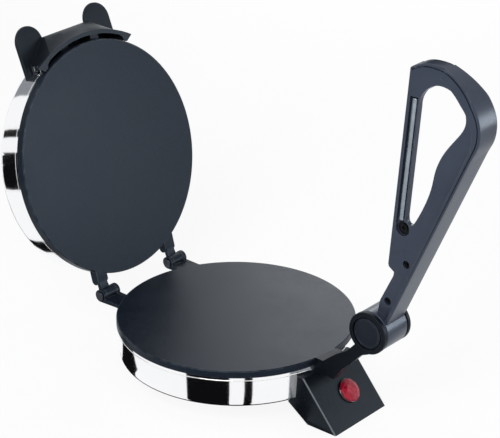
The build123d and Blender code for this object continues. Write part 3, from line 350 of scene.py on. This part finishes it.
def mottled_surface(tree, entry):
    """Cloudy colour between two shades, uneven roughness, and a fine grain height."""
    grain = noise(tree, entry["Grain Scale"], 3.0)
    cloud = noise(tree, entry["Cloud Scale"], 5.0, 0.62)
    speckled = maths(tree, "MULTIPLY_ADD", grain, entry["Speckle"], cloud)
    low = maths(tree, "MULTIPLY_ADD", entry["Speckle"], 0.5, 0.32)
    spread = stretched(tree, speckled, low, maths(tree, "ADD", low, 0.36))
    return (
        ("Color", "NodeSocketColor", tinted(tree, spread, entry["Dark"], entry["Light"])),
        ("Roughness", "NodeSocketFloat", stretched(tree, spread, 0.0, 1.0, entry["Smooth"], entry["Rough"])),
        ("Height", "NodeSocketFloat", grain),
    )


def worn_and_highlit_edges(tree, entry):
    """Colour that turns lighter in patches along sharp edges: part wear, part painted highlight."""
    rounded = tree.nodes.new("ShaderNodeBevel")
    rounded.samples = 4
    feed(tree, rounded.inputs["Radius"], entry["Reach"])
    facing = tree.nodes.new("ShaderNodeNewGeometry")
    along = tree.nodes.new("ShaderNodeVectorMath")
    along.operation = "DOT_PRODUCT"
    feed(tree, along.inputs[0], rounded.outputs["Normal"])
    feed(tree, along.inputs[1], facing.outputs["Normal"])
    turned = stretched(tree, along.outputs["Value"], 0.995, 0.86)
    patches = stretched(tree, noise(tree, 130.0, 4.0), 0.35, 0.65)
    edge_lightening = maths(tree, "MULTIPLY", maths(tree, "MULTIPLY", turned, patches), entry["Amount"])
    return (("Color", "NodeSocketColor", tinted(tree, edge_lightening, entry["Color"], entry["Worn"])),)


mottle = shader_group("mottled_surface", (
    ("Dark", "NodeSocketColor", (0.03, 0.03, 0.03, 1.0)),
    ("Light", "NodeSocketColor", (0.05, 0.05, 0.05, 1.0)),
    ("Smooth", "NodeSocketFloat", 0.4),
    ("Rough", "NodeSocketFloat", 0.5),
    ("Cloud Scale", "NodeSocketFloat", 14.0),
    ("Grain Scale", "NodeSocketFloat", 1500.0),
    ("Speckle", "NodeSocketFloat", 0.0),
), mottled_surface)
# Sharp edges turn lighter: part wear, part painted highlight.
edge_wear_and_highlight = shader_group("worn_and_highlit_edges", (
    ("Color", "NodeSocketColor", (0.03, 0.03, 0.03, 1.0)),
    ("Worn", "NodeSocketColor", (0.2, 0.2, 0.2, 1.0)),
    ("Reach", "NodeSocketFloat", 0.0008),
    ("Amount", "NodeSocketFloat", 0.5),
), worn_and_highlit_edges)


def placed_group(tree, group, **values):
    """Places a node group, its inputs named with underscores for spaces."""
    node = tree.nodes.new("ShaderNodeGroup")
    node.node_tree = group
    for label, value in values.items():
        feed(tree, node.inputs[label.replace("_", " ")], value)
    return node.outputs


def finish(name, dark, light, smooth, rough, cloud=14.0, grain=1500.0, depth=0.00002, bump=0.3,
           speckle=0.0, edge_lightening=None):
    """Mottled, lightly grained material; the last argument holds the lighter shade that edges turn to (part
    wear, part painted highlight), its reach and its amount.
    """
    material = bpy.data.materials.new(name)
    material.use_nodes = True
    tree = material.node_tree
    surface = placed_group(
        tree, mottle, Dark=(*dark, 1.0), Light=(*light, 1.0), Smooth=smooth, Rough=rough,
        Cloud_Scale=cloud, Grain_Scale=grain, Speckle=speckle,
    )
    colour = surface["Color"]
    if edge_lightening:
        shade, reach, amount = edge_lightening
        edges = placed_group(tree, edge_wear_and_highlight, Color=colour, Worn=(*shade, 1.0), Reach=reach, Amount=amount)
        colour = edges["Color"]
    relief = tree.nodes.new("ShaderNodeBump")
    relief.inputs["Distance"].default_value = depth
    relief.inputs["Strength"].default_value = bump
    feed(tree, relief.inputs["Height"], surface["Height"])
    shader = tree.nodes["Principled BSDF"]
    feed(tree, shader.inputs["Base Color"], colour)
    feed(tree, shader.inputs["Roughness"], surface["Roughness"])
    feed(tree, shader.inputs["Normal"], relief.outputs["Normal"])
    return material


def gloss(material, **sockets):
    """Sets plain values on the shader's own sockets, named with underscores for spaces."""
    shader = material.node_tree.nodes["Principled BSDF"]
    for label, value in sockets.items():
        shader.inputs[label.replace("_", " ")].default_value = value
    return material


def paint(material, *names):
    """Puts a material on CAD nodes that are shown as they are."""
    for node in names:
        mesh = frame["nodes"][node].data
        mesh.materials.clear()
        mesh.materials.append(material)


def keep(mesh, name, body, nodes, material):
    """Object for a finished mesh that rides on a body and stands for CAD nodes."""
    piece = bpy.data.objects.new(name, mesh)
    bpy.context.scene.collection.objects.link(piece)
    mesh.materials.clear()
    mesh.materials.append(material)
    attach(piece, body)
    if nodes:
        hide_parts(*nodes)
    return piece


def keep_form(form, name, body, nodes, material):
    """The same for a bmesh, which it frees."""
    mesh = bpy.data.meshes.new(name)
    form.to_mesh(mesh)
    form.free()
    return keep(mesh, name, body, nodes, material)


CREASE = radians(32.0)
FLAT = radians(0.2)
SAME_SPOT = 0.000004


def soften(form):
    """Smooth shading on a bmesh, broken where faces meet at more than the crease angle."""
    for face in form.faces:
        face.smooth = True
    for edge in form.edges:
        edge.smooth = len(edge.link_faces) == 2 and edge.calc_face_angle(0.0) < CREASE


def moulded(node, name, body, material, edge=0.0):
    """The CAD form with its triangles joined into faces and its edges rounded over."""
    mesh = frame["nodes"][node].data.copy()
    mesh.name = name
    form = bmesh.new()
    form.from_mesh(mesh)
    bmesh.ops.remove_doubles(form, verts=form.verts, dist=SAME_SPOT)
    bmesh.ops.dissolve_limit(
        form, angle_limit=FLAT, use_dissolve_boundaries=False,
        verts=form.verts, edges=form.edges, delimit={"NORMAL"},
    )
    soften(form)
    form.to_mesh(mesh)
    form.free()
    piece = keep(mesh, name, body, [node], material)
    if edge:
        rounding = piece.modifiers.new("edge_round", "BEVEL")
        rounding.width = edge
        rounding.segments = 3
        rounding.limit_method = "ANGLE"
        rounding.angle_limit = CREASE
        rounding.harden_normals = True
        rounding.use_clamp_overlap = True


COOL_SHEEN = (0.62, 0.80, 1.0, 1.0)
plate_coat = gloss(finish(
    "plate_coating", (0.0040, 0.0062, 0.0108), (0.0088, 0.0130, 0.0210), smooth=0.34, rough=0.40,
    cloud=18.0, grain=620.0, depth=0.00007, bump=0.5, speckle=1.5,
    edge_lightening=((0.17, 0.19, 0.21), 0.0011, 0.7),
), Specular_IOR_Level=0.14, Specular_Tint=COOL_SHEEN)
moulded("lower_plate", "base_hotplate", "base", plate_coat, edge=0.0004)
moulded("upper_plate", "lid_hotplate", "lid", plate_coat, edge=0.0004)

# ============================================================ drums
# Pans drawn from sheet and chromed to a mirror, each stiffened by a fine bead rolled into
# the wall under its lip. Handling has left a faint haze and hairlines.

chrome = gloss(finish(
    "chrome_plate", (0.96, 0.945, 0.93), (1.0, 0.985, 0.965), smooth=0.07, rough=0.11,
    cloud=9.0, grain=90.0, depth=0.0001, bump=0.02,
), Metallic=1.0)
moulded("base_drum", "base_pan", "base", chrome)
moulded("lid_drum", "lid_pan", "lid", chrome)

BEAD_RADIUS = 0.0009
BEAD_SINK = 0.00092
BASE_BEAD_DROP = 0.0035
LID_BEAD_HEIGHT = 0.0117


def rolled_bead(name, body, height, place):
    """Fine round bead about a drum, half sunk in its wall."""
    form = bmesh.new()
    bmesh.ops.create_circle(form, segments=20, radius=BEAD_RADIUS)
    bmesh.ops.rotate(form, verts=form.verts, matrix=Matrix.Rotation(pi / 2, 3, "X"))
    bmesh.ops.translate(form, verts=form.verts, vec=(DRUM_RADIUS - BEAD_SINK, 0.0, height))
    bmesh.ops.spin(
        form, geom=form.verts[:] + form.edges[:], cent=(0.0, 0.0, 0.0), axis=(0.0, 0.0, 1.0),
        angle=2 * pi, steps=160, use_merge=True, use_duplicate=False,
    )
    bmesh.ops.remove_doubles(form, verts=form.verts, dist=SAME_SPOT / 2)
    bmesh.ops.transform(form, matrix=place, verts=form.verts)
    bmesh.ops.recalc_face_normals(form, faces=form.faces)
    soften(form)
    keep_form(form, name, body, [], chrome)


rolled_bead("base_rolled_bead", "base", drum_high.z - BASE_BEAD_DROP, base_place)
rolled_bead("lid_rolled_bead", "lid", LID_BEAD_HEIGHT, lid_place)

# ============================================================ heater stacks
# Under each plate lie a sheathed element pressed flat by a plate, mineral wool, a bright
# dish that throws the heat back, spacers, a tie bolt and a snap thermostat.

sheath = gloss(finish(
    "element_sheath", (0.060, 0.050, 0.046), (0.160, 0.125, 0.105), smooth=0.42, rough=0.62,
    cloud=60.0, grain=900.0, depth=0.00004,
), Metallic=0.85)
aluminised = gloss(finish(
    "aluminised_sheet", (0.52, 0.53, 0.54), (0.74, 0.75, 0.76), smooth=0.28, rough=0.46,
    cloud=150.0, grain=500.0, bump=0.15, speckle=0.3,
), Metallic=1.0)
wool = gloss(finish(
    "mineral_wool", (0.38, 0.33, 0.20), (0.72, 0.66, 0.48), smooth=0.9, rough=1.0,
    cloud=240.0, grain=1600.0, depth=0.0006, bump=0.8, speckle=0.8,
), Sheen_Weight=0.3)
ceramic = gloss(finish(
    "cream_bakelite", (0.50, 0.45, 0.36), (0.62, 0.57, 0.47), smooth=0.42, rough=0.56,
    cloud=80.0, grain=1400.0, depth=0.00003, bump=0.25,
), Specular_IOR_Level=0.4)
zinc = gloss(finish(
    "zinc_plating", (0.50, 0.50, 0.46), (0.72, 0.73, 0.72), smooth=0.24, rough=0.42,
    cloud=220.0, grain=900.0, bump=0.2,
), Metallic=1.0)
for side in ("base", "lid"):
    paint(sheath, f"{side}_element")
    paint(aluminised, f"{side}_element_clamp", f"{side}_reflector")
    paint(wool, f"{side}_insulation")
    paint(zinc, f"{side}_spacers", f"{side}_tie_bolt")
    paint(ceramic, f"{side}_thermostat")

# ============================================================ lid hinge
# Two headed steel pins, chemically blackened, run through the cast forks and lugs. A
# bright spring circlip snaps over the tail of each.

black_steel = gloss(finish(
    "blackened_steel", (0.030, 0.032, 0.038), (0.075, 0.080, 0.092), smooth=0.26, rough=0.40,
    cloud=260.0, grain=1200.0, bump=0.2, edge_lightening=((0.30, 0.31, 0.33), 0.0005, 0.7),
), Metallic=1.0)
spring = gloss(finish(
    "spring_steel", (0.42, 0.45, 0.49), (0.62, 0.65, 0.69), smooth=0.16, rough=0.28,
    cloud=320.0, grain=900.0,
), Metallic=1.0)
moulded("hinge_pins", "hinge_headed_pins", "base", black_steel, edge=0.0003)
moulded("hinge_circlips", "hinge_snap_rings", "base", spring, edge=0.0001)

# ============================================================ lid bracket
# One black phenolic moulding: a curved hood with a lip over the plate edge, and two ears
# to lift the lid by. Bright spring clips pin its ends, screws hold it from inside.

lid_black = gloss(finish(
    "black_phenolic", (0.0046, 0.0058, 0.0080), (0.0085, 0.0105, 0.0138), smooth=0.40, rough=0.48,
    cloud=30.0, grain=1400.0, depth=0.00001, bump=0.15, edge_lightening=((0.060, 0.070, 0.085), 0.0010, 0.4),
), Specular_IOR_Level=0.22, Specular_Tint=COOL_SHEEN)
clip_steel = gloss(finish(
    "clip_steel", (0.74, 0.76, 0.79), (0.88, 0.90, 0.92), smooth=0.08, rough=0.18,
    cloud=200.0, grain=700.0,
), Metallic=1.0)
moulded("lid_bracket", "lid_hood", "lid", lid_black, edge=0.0008)
moulded("lid_bracket_clips", "hood_spring_clips", "lid", clip_steel, edge=0.0002)
paint(zinc, "lid_bracket_screws")

# ============================================================ pressure saddle
# The block on top of the lid that takes the lever's push. Same phenolic as the bracket,
# its sharp edges turned grey: part wear, part painted highlight.

saddle_black = gloss(finish(
    "saddle_phenolic", (0.007, 0.008, 0.010), (0.016, 0.018, 0.021), smooth=0.30, rough=0.48,
    cloud=45.0, grain=900.0, depth=0.00004, edge_lightening=((0.085, 0.09, 0.10), 0.0014, 0.6),
), Specular_IOR_Level=0.28)
moulded("pressure_saddle", "lid_saddle", "lid", saddle_black, edge=0.0010)
paint(zinc, "saddle_screws")

# ============================================================ lever bracket and pivot
# A curved arm climbs from the front of the base to a cheek, and a round collar closes the
# far end. Grooved caps hide the pin; the lever turns between thin washers.

arm_black = gloss(finish(
    "bracket_phenolic", (0.0030, 0.0040, 0.0056), (0.0062, 0.0078, 0.0105), smooth=0.36, rough=0.44,
    cloud=40.0, grain=900.0, depth=0.00003, bump=0.22, edge_lightening=((0.070, 0.080, 0.095), 0.0010, 0.45),
), Specular_IOR_Level=0.12, Specular_Tint=COOL_SHEEN)
cap_black = gloss(finish(
    "cap_plastic", (0.0065, 0.0080, 0.0130), (0.0105, 0.0125, 0.0190), smooth=0.28, rough=0.38,
    cloud=60.0, grain=1200.0, depth=0.00003, bump=0.25, edge_lightening=((0.09, 0.10, 0.12), 0.0007, 0.5),
), Specular_IOR_Level=0.22, Specular_Tint=COOL_SHEEN)
moulded("lever_bracket", "lever_arm", "base", arm_black, edge=0.0008)
moulded("pivot_collar", "pivot_end_collar", "base", arm_black, edge=0.0005)
moulded("pivot_caps", "pivot_end_caps", "base", cap_black, edge=0.0003)
paint(zinc, "pivot_pin", "pivot_washers", "bracket_foot_screws")

# ============================================================ lever
# A long glass-filled nylon moulding, blue-grey and satin, with a D-shaped hand opening
# and a wide flange round its outside. It turns on a brass sleeve.

lever_plastic = gloss(finish(
    "lever_nylon", (0.026, 0.031, 0.047), (0.035, 0.041, 0.060), smooth=0.26, rough=0.34,
    cloud=25.0, grain=900.0, depth=0.00003, bump=0.14, speckle=0.25,
    edge_lightening=((0.13, 0.15, 0.18), 0.0010, 0.55),
), Specular_IOR_Level=0.34, Specular_Tint=COOL_SHEEN)
brass = gloss(finish(
    "sleeve_brass", (0.55, 0.37, 0.13), (0.74, 0.54, 0.22), smooth=0.20, rough=0.34,
    cloud=150.0, grain=700.0,
), Metallic=1.0)
moulded("lever_grip", "lever_body", "lever", lever_plastic, edge=0.0012)
paint(brass, "lever_bush")
paint(zinc, "lever_strap")

# A thin dark strip follows the outer edge of the flange: painted shade for the shadowed groove
# along that edge. Angles are measured about the middle of the grip, from the front upwards.
SHADE_LINE_START = 0.0017
SHADE_LINE_WIDTH = 0.0011
SHADE_LINE_PROUD = 0.00004
SHADE_LINE_LENGTH = 0.240
SHADE_LINE_ENDS = (radians(-108.0), radians(112.0))
MIDDLE_INSET = 0.045
MIDDLE_DROP = 0.090
OUTSIDE = -0.1
grip_middle = Vector((0.0, grip_low.y + MIDDLE_INSET, grip_high.z - MIDDLE_DROP))


def angle_from_front(spot):
    """Angle of a point that is given from the middle of the grip."""
    return atan2(spot.z, -spot.y)


grip_form = bmesh.new()
grip_form.from_mesh(frame["nodes"]["lever_grip"].data)
grip_skin = BVHTree.FromBMesh(grip_form)
tall = [vert.co - grip_middle for vert in grip_form.verts if vert.co.z > grip_high.z - SHADE_LINE_LENGTH]
grip_form.free()
hull = [tall[k] for k in convex_hull_2d([(spot.y, spot.z) for spot in tall])]
hull = [spot for spot in hull if SHADE_LINE_ENDS[0] < angle_from_front(spot) < SHADE_LINE_ENDS[1]]
hull.sort(key=angle_from_front)


def on_flange(column, side):
    """Point of the shade strip's outer or inner side, found on the flange by a ray from outside."""
    run = hull[min(column + 1, len(hull) - 1)] - hull[max(column - 1, 0)]
    inward = Vector((0.0, run.z, -run.y)).normalized()
    spot = grip_middle + hull[column] + inward * (SHADE_LINE_START + SHADE_LINE_WIDTH * side)
    hit = grip_skin.ray_cast(Vector((OUTSIDE, spot.y, spot.z)), Vector((1.0, 0.0, 0.0)))[0]
    return Vector((hit.x - SHADE_LINE_PROUD, spot.y, spot.z))


shade_line_form = ribbon(len(hull) - 1, on_flange)
keep_form(shade_line_form, "flange_painted_shade", "lever", [], arm_black)

# ============================================================ stiffening rod
# A steel bar laid in the channel of the strut, drawn and dull-plated. Its lower end
# stops against a dark button at the bottom of the channel.

rod_steel = gloss(finish(
    "drawn_rod_steel", (0.25, 0.28, 0.31), (0.35, 0.39, 0.43), smooth=0.24, rough=0.36,
    cloud=90.0, grain=1400.0, bump=0.25,
), Metallic=1.0)
PIVOT = Vector(joints["lever_pivot"]["pos_m"])
ROD_RADIUS = 0.0029
ROD_CHAMFER = 0.0005
ROD_X = -0.00512
ROD_FOOT = (-0.022515, 0.1105)
ROD_TOP = (-0.031803, 0.2220)
CHANNEL_FLOOR = -0.0048
CUT_SLACK = 0.0000005
rod_low = PIVOT + Vector((ROD_X, *ROD_FOOT))
rod_high = PIVOT + Vector((ROD_X, *ROD_TOP))
rod_run = rod_high - rod_low
rod_form = bmesh.new()
bmesh.ops.create_cone(
    rod_form, cap_ends=True, segments=48, radius1=ROD_RADIUS, radius2=ROD_RADIUS, depth=rod_run.length,
)
bmesh.ops.bevel(
    rod_form, geom=[edge for edge in rod_form.edges if edge.calc_face_angle(0.0) > 1.0],
    offset=ROD_CHAMFER, offset_type="OFFSET", segments=3, profile=0.5, affect="EDGES", material=-1,
)
rod_turn = rod_run.to_track_quat("Z", "X").to_matrix().to_4x4()
rod_place = Matrix.Translation((rod_low + rod_high) / 2) @ rod_turn
bmesh.ops.transform(rod_form, matrix=rod_place, verts=rod_form.verts)
bmesh.ops.bisect_plane(
    rod_form, geom=rod_form.verts[:] + rod_form.edges[:] + rod_form.faces[:], dist=CUT_SLACK,
    plane_co=(CHANNEL_FLOOR, 0.0, 0.0), plane_no=(1.0, 0.0, 0.0), clear_outer=True,
)
bmesh.ops.holes_fill(rod_form, edges=[edge for edge in rod_form.edges if edge.is_boundary])
bmesh.ops.recalc_face_normals(rod_form, faces=rod_form.faces)
soften(rod_form)
keep_form(rod_form, "strut_rod", "lever", ["lever_rod"], rod_steel)

# ============================================================ lever screws
# Two pan-head screws sit in wells of the lever's skin, and the upper one bolts the steel
# core strap. A button on a wide black washer ends the rod channel; the washer darkens the well's floor as
# painted shade. All are blackened, with a cross.

black_oxide = gloss(finish(
    "black_oxide", (0.006, 0.006, 0.007), (0.016, 0.017, 0.020), smooth=0.30, rough=0.46,
    cloud=260.0, grain=1200.0,
), Metallic=0.9)
HEAD_TAPER = 0.94
TIP_TAPER = 0.7
CROSS_HALF = 0.14
CROSS_REACH = 0.58
CROSS_DEPTH = 0.55


def punched_screw(form, head_radius, head_height, shank_radius, shank_length, place):
    """Adds a screw along +Z: head from zero upwards with a cross recess, shank below."""
    screw = bmesh.new()
    bmesh.ops.create_cone(
        screw, cap_ends=True, segments=28, radius1=head_radius, radius2=head_radius * HEAD_TAPER,
        depth=head_height,
    )
    bmesh.ops.translate(screw, verts=screw.verts, vec=(0.0, 0.0, head_height / 2))
    half = head_radius * CROSS_HALF
    reach = head_radius * CROSS_REACH
    for axis in (Vector((1, 0, 0)), Vector((0, 1, 0))):
        for distance in (-reach, -half, half, reach):
            bmesh.ops.bisect_plane(
                screw, geom=screw.verts[:] + screw.edges[:] + screw.faces[:], dist=CUT_SLACK,
                plane_co=axis * distance, plane_no=axis,
            )
    recess = []
    for face in screw.faces:
        spot = face.calc_center_median()
        narrow, long = sorted((abs(spot.x), abs(spot.y)))
        if face.normal.z > 0.9 and narrow < half and long < reach:
            recess.append(face)
    pushed = bmesh.ops.extrude_face_region(screw, geom=recess)["geom"]
    floor = [item for item in pushed if isinstance(item, bmesh.types.BMVert)]
    bmesh.ops.delete(screw, geom=recess, context="FACES")
    bmesh.ops.translate(screw, verts=floor, vec=(0.0, 0.0, -head_height * CROSS_DEPTH))
    shank = bmesh.ops.create_cone(
        screw, cap_ends=True, segments=20, radius1=shank_radius * TIP_TAPER, radius2=shank_radius,
        depth=shank_length,
    )
    bmesh.ops.translate(screw, verts=shank["verts"], vec=(0.0, 0.0, -shank_length / 2))
    bmesh.ops.recalc_face_normals(screw, faces=screw.faces)
    soften(screw)
    bmesh.ops.transform(screw, matrix=place, verts=screw.verts)
    joined = bpy.data.meshes.new("one_screw")
    screw.to_mesh(joined)
    screw.free()
    form.from_mesh(joined)
    bpy.data.meshes.remove(joined)


def in_skin(outward, up, seat):
    """Place of a screw seat in the lever's skin, its head towards -X."""
    return Matrix.Translation(PIVOT + Vector((seat, outward, up))) @ Matrix.Rotation(-pi / 2, 4, "Y")


# Each line holds the head's radius and height, the shank's radius and length, and the place.
SCREW_SEAT = -0.0044
rod_stop = in_skin(-0.0254, 0.1036, -0.0045)
lever_screws = [
    (0.0034, 0.0016, 0.0018, 0.0040, in_skin(-0.0305, 0.0715, SCREW_SEAT)),
    (0.0034, 0.0016, 0.0018, 0.0012, in_skin(-0.0126, 0.0313, SCREW_SEAT)),
    (0.0038, 0.0018, 0.0015, 0.0001, rod_stop),
    # Wide black washer: painted shade on the floor of the rod's well.
    (0.0064, 0.0008, 0.0015, 0.0001, rod_stop),
]
screw_form = bmesh.new()
for screw in lever_screws:
    punched_screw(screw_form, *screw)
keep_form(screw_form, "lever_skin_screws", "lever", ["lever_screws"], black_oxide)

# ============================================================ terminal box
# A wedge of black plastic on the front of the base that holds the mains terminals, with a
# flat screwed bottom. Its sloping face carries the lamp, its hidden side the cord gland.


def painted_corner_highlight(tree, entry):
    """Colour painted pale on rounded upright corners as a highlight, whose normals lie between side and
    front.
    """
    facing = tree.nodes.new("ShaderNodeNewGeometry")
    parts = tree.nodes.new("ShaderNodeSeparateXYZ")
    feed(tree, parts.inputs[0], facing.outputs["Normal"])
    sideways = maths(tree, "ABSOLUTE", parts.outputs["X"])
    rise = stretched(tree, sideways, 0.15, 0.50)
    fall = stretched(tree, sideways, 0.985, 0.90)
    edge_lightening = maths(tree, "MULTIPLY", maths(tree, "MULTIPLY", rise, fall), entry["Amount"])
    return (("Color", "NodeSocketColor", tinted(tree, edge_lightening, entry["Color"], entry["Worn"])),)


corners = shader_group("painted_corner_highlight", (
    ("Color", "NodeSocketColor", (0.03, 0.03, 0.03, 1.0)),
    ("Worn", "NodeSocketColor", (0.2, 0.2, 0.2, 1.0)),
    ("Amount", "NodeSocketFloat", 0.5),
), painted_corner_highlight)
box_black = gloss(finish(
    "box_plastic", (0.0030, 0.0042, 0.0058), (0.0065, 0.0084, 0.0108), smooth=0.26, rough=0.34,
    cloud=22.0, grain=1000.0, depth=0.00004, bump=0.25,
), Specular_IOR_Level=0.20, Specular_Tint=COOL_SHEEN)
# The box's rounded upright corners get a painted highlight: a paler colour mixed into the plastic.
tree = box_black.node_tree
box_colour = tree.nodes["Principled BSDF"].inputs["Base Color"]
plain = box_colour.links[0].from_socket
pale = placed_group(tree, corners, Color=plain, Worn=(0.15, 0.17, 0.185, 1.0), Amount=0.85)
feed(tree, box_colour, pale["Color"])
moulded("terminal_box", "box_housing", "base", box_black, edge=0.0008)
moulded("terminal_box_cover", "box_bottom_plate", "base", box_black, edge=0.0003)
moulded("cord_gland", "cord_inlet_gland", "base", box_black, edge=0.0003)
paint(ceramic, "terminal_block", "indicator_holder")
paint(zinc, "terminal_box_screws")

# ============================================================ indicator lamp
# A faceted red lens, moulded in clear-coloured acrylic, that sits in a glossy black bezel.
# The neon behind it is off, so the facets show dark red with pale glints.

bezel_black = gloss(finish(
    "bezel_plastic", (0.006, 0.006, 0.007), (0.010, 0.010, 0.011), smooth=0.16, rough=0.26,
    cloud=90.0, grain=1200.0,
), Specular_IOR_Level=0.5)
moulded("indicator_bezel", "lamp_bezel", "base", bezel_black, edge=0.0003)
red = gloss(finish(
    "red_acrylic", (0.20, 0.0012, 0.010), (0.38, 0.005, 0.030), smooth=0.18, rough=0.30,
    cloud=260.0, grain=1400.0, bump=0.15,
), Specular_IOR_Level=0.32, Coat_Weight=0.05, Coat_Roughness=0.2)

# The lens is drawn up from ring to ring: each holds a radius and a height from the bezel's foot.
LENS_RINGS = [(0.0111, 0.0019), (0.0111, 0.0027), (0.0092, 0.0041), (0.0060, 0.0055)]
LENS_FACETS = 10
FACET_ROUND = 0.00025
BEZEL_HEIGHT = 0.0018
LAMP_TILT = radians(49.56)
bezel_low, bezel_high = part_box("indicator_bezel")
lamp_up = Vector((0.0, -sin(LAMP_TILT), cos(LAMP_TILT)))
lamp_foot = (bezel_low + bezel_high) / 2 - lamp_up * BEZEL_HEIGHT / 2
lamp_place = Matrix.Translation(lamp_foot) @ Matrix.Rotation(LAMP_TILT, 4, "X")
lens_form = bmesh.new()
first_radius, first_height = LENS_RINGS[0]
ring = bmesh.ops.create_circle(lens_form, cap_ends=True, segments=LENS_FACETS, radius=first_radius)
bmesh.ops.translate(lens_form, verts=ring["verts"], vec=(0.0, 0.0, first_height))
table = lens_form.faces[:]
for (radius, height), (next_radius, next_height) in zip(LENS_RINGS, LENS_RINGS[1:]):
    drawn = bmesh.ops.extrude_face_region(lens_form, geom=table)["geom"]
    table = [item for item in drawn if isinstance(item, bmesh.types.BMFace)]
    ring = table[0].verts[:]
    bmesh.ops.translate(lens_form, verts=ring, vec=(0.0, 0.0, next_height - height))
    bmesh.ops.scale(lens_form, verts=ring, vec=(next_radius / radius, next_radius / radius, 1.0))
    if next_radius < radius:
        bmesh.ops.rotate(lens_form, verts=ring, matrix=Matrix.Rotation(pi / LENS_FACETS, 3, "Z"))
bmesh.ops.triangulate(lens_form, faces=[face for face in lens_form.faces if len(face.verts) == 4])
bmesh.ops.recalc_face_normals(lens_form, faces=lens_form.faces)
bmesh.ops.transform(lens_form, matrix=lamp_place, verts=lens_form.verts)
lens = keep_form(lens_form, "lamp_lens", "base", ["indicator_lens"], red)
facet_round = lens.modifiers.new("facet_round", "BEVEL")
facet_round.width = FACET_ROUND
facet_round.segments = 2

# ============================================================ feet and grommets
# Turned rubber feet under the back of the base, and a rubber bush in a hole at the back of
# each pan. The rubber is matt and a little dusty.

rubber = gloss(finish(
    "black_rubber", (0.010, 0.010, 0.010), (0.024, 0.024, 0.023), smooth=0.66, rough=0.85,
    cloud=120.0, depth=0.00005, bump=0.5, speckle=0.4,
), Specular_IOR_Level=0.25)
moulded("rear_feet", "rubber_feet", "base", rubber, edge=0.0006)
moulded("base_lead_grommet", "base_lead_bush", "base", rubber, edge=0.0004)
moulded("lid_lead_grommet", "lid_lead_bush", "lid", rubber, edge=0.0004)
paint(zinc, "foot_screws", "box_cover_screws")
